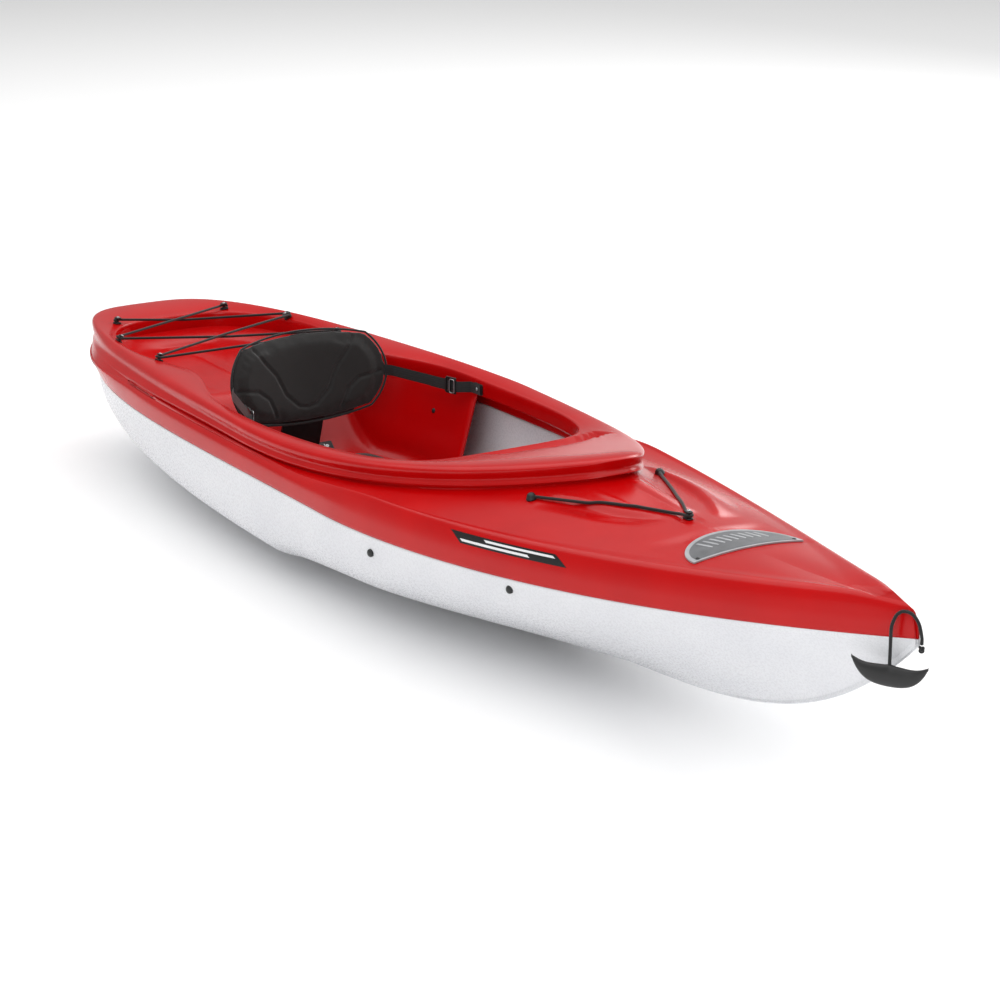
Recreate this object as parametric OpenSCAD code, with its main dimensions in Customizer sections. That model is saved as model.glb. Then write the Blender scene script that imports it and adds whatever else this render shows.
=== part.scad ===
// Ten foot recreational sit-in kayak: thermoformed hull and deck, moulded tub,
// padded backrest, footrests, deck bungees and a bow carry toggle.
// Frame: +X to the bow, +Y to port, +Z up, origin on the flat of the hull bottom.

/* [Hull] */
// Distance from the origin to the bow tip
bow_x = 1527; // [1450:1:1600]
// Distance from the origin to the stern
stern_x = 1520; // [1440:1:1600]
// Half breadth at the seam, amidships
half_beam = 358; // [330:1:390]
// Height of the seam amidships
seam_h = 237; // [215:1:260]
// How far the seam rises to the bow
bow_rise = 107; // [80:1:125]
// How far the seam falls to the stern
stern_fall = 29; // [10:1:40]
// Thickness of the thermoformed sheet
wall = 5; // [4:0.5:6]

/* [Deck] */
// Half width over the cockpit coaming
coaming_w = 339; // [315:1:345]
// Front end of the coaming
coaming_x = 684; // [640:1:720]
// Height of the coaming amidships above the seam
coaming_h = 89; // [75:1:100]
// Rise of the coaming at its front end
coaming_rise = 120; // [90:1:130]
// Height of the wall around the coaming
lip_h = 45; // [35:1:50]
// Half width of the cockpit opening
opening_w = 292; // [270:1:300]
// Front edge of the cockpit opening
opening_x = 235; // [180:1:300]
// Depth of the flange around the opening
flange_h = 36; // [30:1:60]
// Front edge of the moulded tub
tub_x = -360; // [-400:1:-320]
// Height of the tub floor
tub_z = 88; // [70:1:110]
// Height of the tank well floor
well_z = 236; // [215:1:250]

/* [Seat and backrest] */
// Width of the seat cushion
cushion_w = 350; // [300:1:370]
// Length of the seat cushion
cushion_l = 262; // [220:1:270]
// Thickness of the seat cushion
cushion_t = 28; // [20:1:40]
// Width of the backrest
backrest_w = 392; // [340:1:400]
// Height of the backrest pad
backrest_h = 208; // [170:1:225]
// Thickness of the backrest pad
backrest_t = 34; // [24:1:38]
// Diameter of the backrest hinge pin
hinge_pin_d = 8; // [6:0.5:10]
// Width of the strap webbing
strap_w = 25; // [20:1:30]

/* [Footrests] */
// Distance between the two bolts of a footrest rail
rail_l = 402; // [350:1:430]
// Height of a rail's section
rail_h = 26; // [20:1:32]
// Width of a foot peg
peg_w = 92; // [80:1:100]
// Diameter of the footrest bolts
bolt_d = 6; // [5:0.5:8]

/* [Deck fittings] */
// Diameter of the shock cord
bungee_d = 6; // [5:0.5:7]
// Diameter of the bow rope
rope_d = 6; // [5:0.5:7]
// Length of the carry toggle
toggle_l = 136; // [115:1:145]
// Chord of the half moon nameplate
plate_w = 240; // [200:1:250]
// Depth of the half moon nameplate
plate_l = 98; // [85:1:104]
// Outer diameter of the drain plug
plug_d = 30; // [24:1:36]

/* [Hidden] */

// Running clearance on a radius, and the gap between neighbours that rest on each other
run = 0.05;
gap = 0.3;

// ---- curves that give the boat its shape ----
function clamp01(u) = max(0, min(1, u));
function smooth(u) = let (c = clamp01(u)) c * c * (3 - 2 * c);
function lerp(a, b, u) = a + (b - a) * u;

// Half width of a pointed plan outline: widest at xm, closed at fore and aft
function outline_y(x, w, xm, fore, aft, pf, qf, pa, qa) =
    x > xm ? w * pow(1 - pow(clamp01((x - xm) / (fore - xm)), pf), qf)
           : w * pow(1 - pow(clamp01((xm - x) / (xm - aft)), pa), qa);

// A station runs from -1 at the stern to 1 at the bow. Between the two knuckles
// every ring has the same x, and past them each ring closes round its own end.
knuckle_f = 100;
knuckle_a = -900;
function ring_x(s, fore, aft) =
    s > 0.2 ? knuckle_f + (fore - knuckle_f) * sin(90 * (s - 0.2) / 0.8)
    : s < -0.5 ? knuckle_a - (knuckle_a - aft) * sin(90 * (-0.5 - s) / 0.5)
    : lerp(knuckle_a, knuckle_f, (s + 0.5) / 0.7);

seam_low_x = 167;
function seam_z(x) = seam_h + (x > seam_low_x
    ? bow_rise * pow((x - seam_low_x) / (bow_x - seam_low_x), 2)
    : -stern_fall * pow((seam_low_x - x) / (seam_low_x + stern_x), 2));

// Plan rings; grow is an offset in plan, outwards when positive
function seam_ring(s, grow) =
    let (fore = bow_x + 2.6 * grow, aft = -stern_x - grow, x = ring_x(s, fore, aft))
    [x, outline_y(x, half_beam + grow, 129, fore, aft, 1.615, 1.031, 4.223, 0.667), seam_z(x)];

coaming_low_x = -193;
function coaming_z(x) = seam_h + coaming_h + (x > coaming_low_x
    ? coaming_rise * pow((x - coaming_low_x) / (coaming_x - coaming_low_x), 2)
    : -32 * pow((coaming_low_x - x) / (stern_x - 11 + coaming_low_x), 2));
function coaming_ring(s, grow) =
    let (fore = coaming_x + grow, aft = -stern_x + 11 - grow, x = ring_x(s, fore, aft))
    [x, outline_y(x, coaming_w + grow, -256, fore, aft, 1.971, 0.782, 1.22, 0.281), coaming_z(x)];

// The cockpit opening runs into the tank well through a waist behind the backrest
well_end_x = -1345;
function waist(x) = 70 * exp(-pow((x + 770) / 190, 2));
function opening_z(x) = seam_h + coaming_h - 10 + 30 * pow(clamp01((x + 350) / 585), 1.5)
    - 26 * pow(clamp01((-350 - x) / 1000), 1.5);
function opening_ring(s, grow) =
    let (fore = opening_x + grow, aft = well_end_x - grow, x = ring_x(s, fore, aft))
    [x, outline_y(x, opening_w + grow, -350, fore, aft, 2, 0.183, 2, 0.27)
        * (1 - waist(x) / opening_w), opening_z(x)];

// Height of the moulded floor: tank well aft, ramp, then the tub
function floor_z(x) = lerp(well_z, tub_z, smooth((x + 830) / 190)) - 10 * smooth((x + 560) / 160);

// ---- deck: rows of rings from the seam up, over the coaming and down to the floor ----
// Each row is [ring at grow, drop of the ring, angle of the wall: 0 in plan, 90 straight down].
band_h = 34;
// The side swells out above the seam towards the stern
stern_swell = 20;
function swell(x) = stern_swell * smooth((-850 - x) / 350);
function band_ring(s, grow) =
    let (p = seam_ring(s, grow - 3 + swell(ring_x(s, bow_x, -stern_x)))) [p[0], p[1], p[2] + band_h];

// A ring on the coaming's wall, h below the lip. Aft the wall melts into the side.
function wall_ring(s, grow, h, step) =
    let (c = coaming_ring(s, grow + step), b = band_ring(s, grow),
         u = h / (coaming_h - band_h + 10), g = smooth((c[0] + 850) / 750))
    [lerp(lerp(c[0], b[0], u), c[0], g), lerp(lerp(c[1], b[1], u), c[1], g), c[2] - h];

// The shoulder stands over the seam: low amidships, high along the foredeck
shoulder_h = 72;
shoulder_in = 15;
function shoulder_ring(s, grow) =
    let (p = seam_ring(s, grow - shoulder_in * smooth((s + 0.9) / 0.5)),
         h = lerp(46, shoulder_h, smooth((p[0] + 60) / 360)) - 16 * smooth((p[0] - 1380) / 140))
    [p[0], p[1], p[2] + h];

// The foredeck is slightly crowned at its sides and dips along its middle
foredeck_dip = 32;
function deck_between(s, grow, u) =
    let (a = shoulder_ring(s, grow), b = wall_ring(s, grow, lip_h, -4))
    [lerp(a[0], b[0], u), lerp(a[1], b[1], u),
     a[2] + (b[2] - a[2]) * (1 - pow(1 - u, 1.6))
        - foredeck_dip * pow(sin(180 * clamp01(u)), 0.6) * smooth((s - 0.5) / 0.5)];

function lip_between(s, grow, u) =
    let (a = coaming_ring(s, grow), b = opening_ring(s, -grow))
    [lerp(a[0], b[0], u), lerp(a[1], b[1], u), lerp(a[2], b[2], u) + 4 * sin(180 * u)];

// Wall of the tub and well: u = 0 at the flange, 1 at the floor
tub_inset = 58;
floor_dish = 6;
dish_at = 0.35;
function tub_ring(s, grow, u) =
    let (p = opening_ring(s, grow - tub_inset * u), top = opening_z(p[0]) - flange_h)
    [p[0], p[1], lerp(top, floor_z(p[0]), u)];
function tub_floor(s, u) =
    let (aft = well_end_x + tub_inset + 30 * u, x = ring_x(s, opening_x, aft))
    [x, (1 - u) * (1 - waist(x) / opening_w)
        * outline_y(x, opening_w - tub_inset, -350, opening_x, aft, 2, 0.183, 2, 0.27),
     floor_z(x) - floor_dish * min(1, u / dish_at)];

DECK_ROWS = 25;
FLANGE_ROW = 18;
between_u = [0.16, 0.42, 0.66, 0.84];
MID_ROW = DECK_ROWS - 1;
// Angle of the wall in each row, in degrees: 0 towards the middle of the boat, 90 down, 180 outwards
deck_angle = [0, 20, 50, 75, 90, 90, 85, 70, 10, 5, 5, 10, 60, 90, 90, 90, 120, 180, 180, 170, 150, 135,
    90, 90, 90];
function deck_row(j, s, grow) =
    j == 0 ? seam_ring(s, grow)
    : j == 1 ? band_ring(s, grow)
    : j == 2 ? shoulder_ring(s, grow)
    : j < 7 ? deck_between(s, grow, between_u[j - 3])
    : j == 7 ? wall_ring(s, grow, lip_h, -4)
    : j == 8 ? wall_ring(s, grow, lip_h * 0.8, 3)
    : j == 9 ? wall_ring(s, grow, lip_h * 0.56, -3)
    : j == 10 ? wall_ring(s, grow, lip_h * 0.3, 2)
    : j == 11 ? wall_ring(s, grow, 5, 1)
    : j < 16 ? lip_between(s, grow, [0.12, 0.4, 0.7, 0.9][j - 12])
    : j == 16 ? opening_ring(s, grow)
    : j == 17 ? let (p = opening_ring(s, grow - 2)) [p[0], p[1], p[2] - flange_h / 3]
    : j == FLANGE_ROW ? let (p = opening_ring(s, grow)) [p[0], p[1], p[2] - flange_h]
    : j < 22 ? tub_ring(s, grow, [0.35, 0.75, 1][j - 19])
    : tub_floor(s, [dish_at, 0.7, 1][j - 22]);

function deck_point(j, s, inner) =
    let (a = deck_angle[j], p = deck_row(j, s, inner ? -wall * cos(a) : 0))
    [p[0], p[1], p[2] - (inner ? wall * sin(a) : 0)];

// Stations, closer together at the two ends
deck_aft = [for (i = [0:8]) -1 + 0.5 * i / 9];
deck_mid = [for (i = [0:16]) -0.5 + 0.7 * i / 17];
deck_fore = [for (i = [0:16]) 0.2 + 0.8 * i / 16];
deck_s = concat(deck_aft, deck_mid, deck_fore);
deck_n = len(deck_s);
tub_s = (tub_x - knuckle_a) / (knuckle_f - knuckle_a) * 0.7 - 0.5;
// Last station of the tub, moved on to the tub's own front edge
tub_i = max([for (i = [0:deck_n - 1]) if (deck_s[i] <= tub_s + 0.02) i]);
deck_station = [for (i = [0:deck_n - 1]) i == tub_i ? tub_s : deck_s[i]];

// One skin of a mirrored shell: points of both halves, and the index of a point.
// The first and last stations and the middle row lie on the centre plane and are shared.
function shared(j, i, n, mid) = i == 0 || i == n - 1 || j == mid;
function at(j, i, side, skin, rows, n, mid) =
    skin * 2 * rows * n + ((side < 0 && !shared(j, i, n, mid)) ? rows * n : 0) + j * n + i;

// Two triangles of a cell, turned by flip, split along the other diagonal by cross
function cell(a, b, c, d, flip, cross = false) =
    cross ? cell(b, c, d, a, flip) : flip ? [[a, c, b], [a, d, c]] : [[a, b, c], [a, c, d]];

function deck_open(j, i) = j < FLANGE_ROW || i < tub_i;

module deck() {
    rows = DECK_ROWS;
    n = deck_n;
    points = [for (skin = [0, 1], side = [1, -1], j = [0:rows - 1], i = [0:n - 1])
        let (p = deck_point(j, deck_station[i], skin == 1),
             flat_end = i == 0 || i == n - 1 || j == MID_ROW)
        [p[0], flat_end ? 0 : side * p[1], p[2]]];
    skins = [for (skin = [0, 1], side = [1, -1], j = [0:rows - 2], i = [0:n - 2])
        if (deck_open(j, i))
            each cell(at(j, i, side, skin, rows, n, MID_ROW), at(j, i + 1, side, skin, rows, n, MID_ROW),
                      at(j + 1, i + 1, side, skin, rows, n, MID_ROW),
                          at(j + 1, i, side, skin, rows, n, MID_ROW),
                      (side < 0) != (skin == 1), i == 0 && j == rows - 2)];
    // Rims that join the two skins: the seam, the flange, and the front edge of the tub
    seam_rim = [for (side = [1, -1], i = [0:n - 2])
        each cell(at(0, i, side, 0, rows, n, MID_ROW), at(0, i, side, 1, rows, n, MID_ROW),
                  at(0, i + 1, side, 1, rows, n, MID_ROW), at(0, i + 1, side, 0, rows, n, MID_ROW),
                      side < 0)];
    flange_rim = [for (side = [1, -1], i = [tub_i:n - 2])
        each cell(at(FLANGE_ROW, i, side, 0, rows, n, MID_ROW),
            at(FLANGE_ROW, i + 1, side, 0, rows, n, MID_ROW),
                  at(FLANGE_ROW, i + 1, side, 1, rows, n, MID_ROW),
                      at(FLANGE_ROW, i, side, 1, rows, n, MID_ROW),
                  side < 0)];
    tub_rim = [for (side = [1, -1], j = [FLANGE_ROW:rows - 2])
        each cell(at(j, tub_i, side, 0, rows, n, MID_ROW), at(j, tub_i, side, 1, rows, n, MID_ROW),
                  at(j + 1, tub_i, side, 1, rows, n, MID_ROW), at(j + 1, tub_i, side, 0, rows, n, MID_ROW),
                  side < 0)];
    color([0.80, 0.01, 0.02]) difference() {
        polyhedron(points, concat(skins, seam_rim, flange_rim, tub_rim));
        on_surface(drain_at, drain_n) cylinder(d = drain_hole, h = 60, center = true, $fn = 64);
    }
}

// ---- hull ----
flat_drop = 14;
keel_bow_x = 703;
rise_x = 150;
keel_rise = 145;
stem_h = 12;
function keel_z(x) = -flat_drop + keel_rise * pow(clamp01((x - rise_x) / (bow_x - rise_x)), 1.25)
    + (x > keel_bow_x
        ? (seam_h + bow_rise - stem_h + flat_drop - keel_rise) * pow(clamp01((x - keel_bow_x) / (bow_x - keel_bow_x)), 3.67)
        : (seam_h - stern_fall - stem_h + flat_drop) * pow(clamp01((keel_bow_x - x) / (keel_bow_x + stern_x)), 4.67));
// Fullness of a section: both exponents change towards the ends
function bow_share(x) = pow(clamp01((x + 181) / (bow_x + 181)), 0.5);
function stern_share(x) = pow(clamp01((-303 - x) / (stern_x - 303)), 1.3);
function section_y(x, u) =
    let (n = 4.97 - 4.27 * bow_share(x) - 3.42 * stern_share(x),
         m = 1.025 - 0.225 * bow_share(x) + 1.14 * stern_share(x))
    pow(1 - pow(u, n), 1 / m);
// Height of the shallow tracking channels fore and aft of the flat middle of the bottom
function channel(y, x) = 6 * clamp01(1 - pow(y / 42,
    2)) * smooth((1000 - abs(x)) / 400) * smooth((abs(x) - 60) / 240);

hull_u = [0, 0.08, 0.2, 0.36, 0.52, 0.66, 0.78, 0.87, 0.92, 0.944, 0.97, 0.988, 1];
hull_stations = [for (i = [0:48]) sin(90 * (i / 24 - 1))];
function hull_point(i, k, inner) =
    let (grow = inner ? -wall : 0, s = hull_stations[i],
         fore = bow_x + 5 * grow, aft = -stern_x - 2 * grow,
         x = s > 0 ? s * fore : -s * aft, u = hull_u[k],
         y = outline_y(x, half_beam - 1 + grow, 129, fore, aft, 1.615, 1.031, 4.223, 0.667) * section_y(x,
             u),
         z = lerp(seam_z(x) - gap, keel_z(x) + (inner ? wall * (1.5 + 4 * bow_share(x) * bow_share(x)) : 0), u))
    [x, y, max(inner ? wall : 0, z) + (k == 0 ? 0 : channel(y, x))];

module hull() {
    rows = len(hull_u);
    n = len(hull_stations);
    mid = rows - 1;
    points = [for (skin = [0, 1], side = [1, -1], j = [0:rows - 1], i = [0:n - 1])
        let (p = hull_point(i, j, skin == 1), flat_end = i == 0 || i == n - 1 || j == mid)
        [p[0], flat_end ? 0 : side * p[1], p[2]]];
    skins = [for (skin = [0, 1], side = [1, -1], j = [0:rows - 2], i = [0:n - 2])
        each cell(at(j, i, side, skin, rows, n, mid), at(j + 1, i, side, skin, rows, n, mid),
                  at(j + 1, i + 1, side, skin, rows, n, mid), at(j, i + 1, side, skin, rows, n, mid),
                  (side < 0) != (skin == 1), i == 0 && j == rows - 2)];
    rim = [for (side = [1, -1], i = [0:n - 2])
        each cell(at(0, i, side, 0, rows, n, mid), at(0, i + 1, side, 0, rows, n, mid),
                  at(0, i + 1, side, 1, rows, n, mid), at(0, i, side, 1, rows, n, mid), side < 0)];
    color([0.93, 0.93, 0.94])
        polyhedron(points, concat(skins, rim));
}

// ---- shared shapes for the fittings ----
black = [0.06, 0.06, 0.06];
steel = [0.55, 0.56, 0.58];
screw_d = 4;

// A pan head screw: the shank goes down from z = 0
module screw(d, l) {
    color(steel) {
        translate([0, 0, -l]) cylinder(d = d, h = l + 1, $fn = 32);
        difference() {
            cylinder(d = 2 * d, h = 0.6 * d, $fn = 32);
            translate([0, 0, 0.3 * d]) cylinder(d = 0.9 * d, h = d, $fn = 6);
        }
    }
}

// Puts children at p with their +Z along n, turned about it by turn
module on_surface(p, n, turn = 0) {
    heading = atan2(n[1], n[0]);
    translate(p) rotate([0, acos(n[2] / norm(n)), heading]) rotate([0, 0, turn - heading]) children();
}

// A bar with round ends, standing on z = 0
module stadium(l, w, h) {
    translate([-(l - w) / 2, -w / 2, 0]) cube([l - w, w, h]);
    for (end = [-1, 1]) translate([end * (l - w) / 2, 0, 0]) cylinder(d = w, h = h, $fn = 48);
}

// A plate with rounded corners, standing on z = 0
module plate(l, w, h, r) {
    translate([-l / 2 + r, -w / 2, 0]) cube([l - 2 * r, w, h]);
    translate([-l / 2, -w / 2 + r, 0]) cube([l, w - 2 * r, h]);
    for (i = [-1, 1], j = [-1, 1])
        translate([i * (l / 2 - r), j * (w / 2 - r), 0]) cylinder(r = r, h = h, $fn = 48);
}

// A closed solid between two grids of n by m points
module between(top, bottom, n, m, flip = false) {
    function t(i, j) = j * n + i;
    function b(i, j) = n * m + j * n + i;
    faces = [
        for (j = [0:m - 2], i = [0:n - 2]) each cell(t(i, j), t(i + 1, j), t(i + 1, j + 1), t(i, j + 1),
            flip),
        for (j = [0:m - 2], i = [0:n - 2]) each cell(b(i, j), b(i + 1, j), b(i + 1, j + 1), b(i, j + 1),
            !flip),
        for (i = [0:n - 2]) each cell(t(i + 1, 0), t(i, 0), b(i, 0), b(i + 1, 0), flip),
        for (i = [0:n - 2]) each cell(t(i, m - 1), t(i + 1, m - 1), b(i + 1, m - 1), b(i, m - 1), flip),
        for (j = [0:m - 2]) each cell(t(n - 1, j + 1), t(n - 1, j), b(n - 1, j), b(n - 1, j + 1), flip),
        for (j = [0:m - 2]) each cell(t(0, j), t(0, j + 1), b(0, j + 1), b(0, j), flip)];
    polyhedron(concat(top, bottom), faces);
}

// A tube of diameter d swept along a route; ref is a direction that the route never takes
function unit(v) = v / norm(v);
module tube(route, d, ref = [0, 0, 1], sides = 8) {
    n = len(route);
    points = [for (i = [0:n - 1])
        let (t = unit(route[min(i + 1, n - 1)] - route[max(i - 1, 0)]), u = unit(cross(t, ref)),
            v = cross(u, t))
        for (k = [0:sides - 1]) route[i] + d / 2 * (cos(360 * k / sides) * u + sin(360 * k / sides) * v)];
    sides_faces = [for (i = [0:n - 2], k = [0:sides - 1])
        let (q = (k + 1) % sides)
        each cell(i * sides + k, i * sides + q, (i + 1) * sides + q, (i + 1) * sides + k, false)];
    start = [for (k = [sides - 1:-1:0]) k];
    finish = [for (k = [0:sides - 1]) (n - 1) * sides + k];
    polyhedron(points, concat(sides_faces, [start, finish]));
}

// Height of the moulded floor along its shell's straight facets
facet = (knuckle_f - knuckle_a) / 17;
function floor_line(x) =
    let (a = knuckle_a + facet * floor((x - knuckle_a) / facet))
    lerp(floor_z(a), floor_z(a + facet), (x - a) / facet);
function floor_half(x) = (1 - waist(x) / opening_w)
    * outline_y(x, opening_w - tub_inset, -350, opening_x, well_end_x + tub_inset, 2, 0.183, 2, 0.27);
function floor_at(x, y) = floor_line(x) - floor_dish * min(1, (1 - abs(y) / floor_half(x)) / dish_at);

// Height of the foredeck over a point in plan
function fore_u(x, s) =
    let (a = shoulder_ring(s, 0), b = wall_ring(s, 0, lip_h, -4))
    clamp01((a[0] - x) / (a[0] - b[0]));
function fore_s(x, y, lo = 0.3, hi = 1, n = 18) =
    let (m = (lo + hi) / 2)
    n == 0 ? m : deck_between(m, 0, fore_u(x, m))[1] > abs(y)
        ? fore_s(x, y, m, hi, n - 1) : fore_s(x, y, lo, m, n - 1);
fore_rows = concat([0], between_u, [1]);
function fore_row_z(s, k) = k == 0 ? shoulder_ring(s, 0)[2] : k == len(fore_rows) - 1
    ? wall_ring(s, 0, lip_h, -4)[2] : deck_between(s, 0, fore_rows[k])[2];
function fore_z(x, y) =
    let (s = fore_s(x, y), u = fore_u(x, s), k = max([for (i = [0:len(fore_rows) - 2]) if (fore_rows[i] <= u) i]))
    lerp(fore_row_z(s, k), fore_row_z(s, k + 1), (u - fore_rows[k]) / (fore_rows[k + 1] - fore_rows[k]));
function fore_normal(x, y) =
    unit([fore_z(x - 8, y) - fore_z(x + 8, y), fore_z(x, y - 8) - fore_z(x, y + 8), 16]);

// Height of the hull's inner skin over a point in plan
function hull_half(x, u) = outline_y(x, half_beam - 1 - wall, 129, bow_x - 5 * wall, -stern_x + 2 * wall,
    1.615, 1.031, 4.223, 0.667) * section_y(x, u);
function hull_at(x, y, lo = 0, hi = 1, n = 18) =
    let (m = (lo + hi) / 2)
    n > 0 ? (hull_half(x, m) > y ? hull_at(x, y, m, hi, n - 1) : hull_at(x, y, lo, m, n - 1))
    : max(wall, lerp(seam_z(x) - gap, keel_z(x) + wall * (1.5 + 4 * bow_share(x) * bow_share(x)),
        m)) + channel(y, x);

// ---- flotation foam: upright pillars that also hold the deck up ----
foam_t = 50;
foam_clear = 1.6;
module foam_pillar(x0, x1, top) {
    steps = 8;
    low = [for (i = [0:steps]) let (x = lerp(x0, x1, i / steps)) [x, hull_at(x, foam_t / 2) + foam_clear]];
    high = [for (i = [steps:-1:0]) let (x = lerp(x0, x1, i / steps)) [x,
        top == 0 ? fore_z(x, 0) - wall - foam_clear : top]];
    color([0.9, 0.9, 0.88])
        translate([0, foam_t / 2, 0]) rotate([90, 0, 0]) linear_extrude(foam_t) polygon(concat(low, high));
}
module bow_foam() foam_pillar(880, 1180, 0);
module stern_foam() foam_pillar(-1160, -940, well_z - floor_dish - wall - gap);

// ---- seat ----
cushion_x = tub_x - 12;
module seat_cushion() {
    n = 13;
    m = 11;
    function place(i, j, up) =
        let (a = 2 * i / (n - 1) - 1, b = 2 * j / (m - 1) - 1,
             round_off = 1 - 0.10 * a * a * b * b,
             x = cushion_x - cushion_l / 2 + cushion_l / 2 * a * round_off,
             y = cushion_w / 2 * b * round_off,
             crown = 0.55 + 0.45 * pow((1 - pow(a, 8)) * (1 - pow(b, 8)), 0.5))
        [x, y, floor_at(x, y) + gap + (up ? cushion_t * crown : 0)];
    color(black)
        between([for (j = [0:m - 1], i = [0:n - 1]) place(i, j, true)],
                [for (j = [0:m - 1], i = [0:n - 1]) place(i, j, false)], n, m, true);
}

// ---- backrest: a padded panel on a moulded plate that hinges on the tub's floor ----
back_tilt = 9.1;
pad_foot = [-622, 0, 195];
pad_wing = 37;
hinge_at = [-668, 0, 115];
barrel_w = 116;
barrel_d = 18;
lug_t = 6;
plate_t = 5;
back_up = [-sin(back_tilt), 0, cos(back_tilt)];
back_out = [cos(back_tilt), 0, sin(back_tilt)];

module backrest_pad() {
    n = 13;
    m = 9;
    function place(i, j, front) =
        let (a = 2 * i / (n - 1) - 1, b = j / (m - 1),
             thin = 0.35 + 0.65 * pow((1 - pow(a, 8)) * (1 - pow(2 * b - 1, 8)), 0.5),
             half = backrest_w / 2 * (1 - 0.1 * pow(2 * b - 1, 4)))
        pad_foot + back_up * backrest_h * b * (1 - 0.06 * a * a) + [0, a * half, 0]
            + back_out * (pad_wing * a * a + (front ? 1 : -1) * backrest_t / 2 * thin);
    color(black)
        between([for (j = [0:m - 1], i = [0:n - 1]) place(i, j, true)],
                [for (j = [0:m - 1], i = [0:n - 1]) place(i, j, false)], n, m, true);
}

plate_back = pad_foot - back_out * (backrest_t / 2 + gap + plate_t);
module backrest_plate() {
    foot = plate_back + back_out * plate_t / 2;
    run_x = foot[0] - hinge_at[0];
    run_z = foot[2] - hinge_at[2];
    tongue_l = norm([run_x, run_z]);
    difference() {
        color(black) union() {
            // Panel behind the pad
            translate(plate_back) rotate([0, 90 - back_tilt, 0]) rotate([0, 0, 180])
                translate([backrest_h * 0.44, 0, 0]) plate(backrest_h * 0.88, 0.7 * backrest_w, plate_t,
                    24);
            // Tongue down to the hinge
            translate(hinge_at) rotate([0, atan2(run_x, run_z), 0])
                translate([-plate_t / 2, -barrel_w / 2 + 6, 0])
                    cube([plate_t, barrel_w - 12, tongue_l + 8]);
            translate(hinge_at) rotate([90, 0, 0]) cylinder(d = barrel_d, h = barrel_w, center = true,
                $fn = 64);
        }
        translate(hinge_at) rotate([90, 0, 0])
            cylinder(d = hinge_pin_d + 2 * run, h = barrel_w + 10, center = true, $fn = 64);
    }
}

bracket_y = barrel_w / 2 + gap + lug_t / 2;
bracket_foot = 34;
bracket_half = 24;
module bracket(side) {
    low = [for (x = [hinge_at[0] - bracket_half:8:hinge_at[0] + bracket_half]) [x,
        floor_line(x) - floor_dish + gap]];
    high = [for (i = [len(low) - 1:-1:0]) low[i] + [0, 5]];
    color(black) difference() {
        union() {
            translate([0, side > 0 ? bracket_y + lug_t / 2 + bracket_foot : -bracket_y + lug_t / 2, 0])
                rotate([90, 0, 0]) linear_extrude(bracket_foot + lug_t) polygon(concat(low, high));
            translate([0, side * bracket_y + lug_t / 2, 0]) rotate([90, 0, 0]) linear_extrude(lug_t)
                polygon([low[1] + [0, 3], low[len(low) - 2] + [0, 3],
                         [hinge_at[0] + 9, hinge_at[2]], [hinge_at[0] - 9, hinge_at[2]]]);
            translate(hinge_at + [0, side * bracket_y, 0]) rotate([90, 0, 0])
                cylinder(d = barrel_d, h = lug_t, center = true, $fn = 64);
        }
        translate(hinge_at) rotate([90, 0, 0])
            cylinder(d = hinge_pin_d + 2 * run, h = 3 * barrel_w, center = true, $fn = 64);
        bracket_screw_places(side) translate([0, 0, -20]) cylinder(d = screw_d + 2 * run, h = 40, $fn = 32);
    }
}
module bracket_screw_places(side) {
    x = hinge_at[0];
    slope = atan2(floor_line(x - 6) - floor_line(x + 6), 12);
    for (dx = [-13, 13])
        translate([x + dx, side * (bracket_y + lug_t / 2 + bracket_foot / 2),
            floor_line(x + dx) - floor_dish + gap + 5])
            rotate([0, slope, 0]) children();
}
module backrest_bracket_port() bracket(1);
module backrest_bracket_starboard() bracket(-1);
module backrest_bracket_screws() for (side = [-1, 1]) bracket_screw_places(side)
    translate([0, 0, bracket_screw_up]) screw(screw_d, 14);
// The heads clear the slope of the foot
bracket_screw_up = 2.8;
module backrest_hinge_pin() {
    l = 2 * (bracket_y + lug_t / 2) + 3;
    color(steel) translate(hinge_at) rotate([90, 0, 0]) union() {
        cylinder(d = hinge_pin_d, h = l, center = true, $fn = 64);
        for (end = [-1, 1]) translate([0, 0, end * (l / 2 + 1)])
            cylinder(d = hinge_pin_d + 5, h = 3, center = true, $fn = 48);
    }
}

// ---- straps from the wings of the backrest to the coaming ----
webbing_t = 2;
strap_z = 296;
strap_start = [-585, 206];
buckle_at = [-404, 252];
anchor_x = -345;
anchor_y = opening_w - 2.6;
anchor_t = 2.5;
module ribbon(path, t, z0, h) {
    n = len(path);
    left = [for (i = [0:n - 1]) let (d = unit(path[min(i + 1, n - 1)] - path[max(i - 1,
        0)])) path[i] + t / 2 * [-d[1], d[0]]];
    right = [for (i = [n - 1:-1:0]) let (d = unit(path[min(i + 1, n - 1)] - path[max(i - 1,
        0)])) path[i] - t / 2 * [-d[1], d[0]]];
    translate([0, 0, z0]) linear_extrude(h) polygon(concat(left, right));
}
strap_end = [anchor_x - 10, anchor_y - gap - anchor_t - gap - webbing_t / 2];
buckle_turn = 15;
strap_path = [strap_start, [-520, 221], buckle_at - 50 * [cos(buckle_turn), sin(buckle_turn)],
              buckle_at + 22 * [cos(buckle_turn), sin(buckle_turn)], strap_end + [-14, -3], strap_end,
                  strap_end + [22, 0]];
module strap(side) {
    color(black) difference() {
        mirror([0, side > 0 ? 0 : 1, 0]) ribbon(strap_path, webbing_t, strap_z - strap_w / 2, strap_w);
        anchor_places(side) cylinder(d = screw_d + 2 * run, h = 20, $fn = 32);
    }
}
module strap_port() strap(1);
module strap_starboard() strap(-1);
buckle_l = 34;
buckle_h = strap_w + 8;
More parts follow.
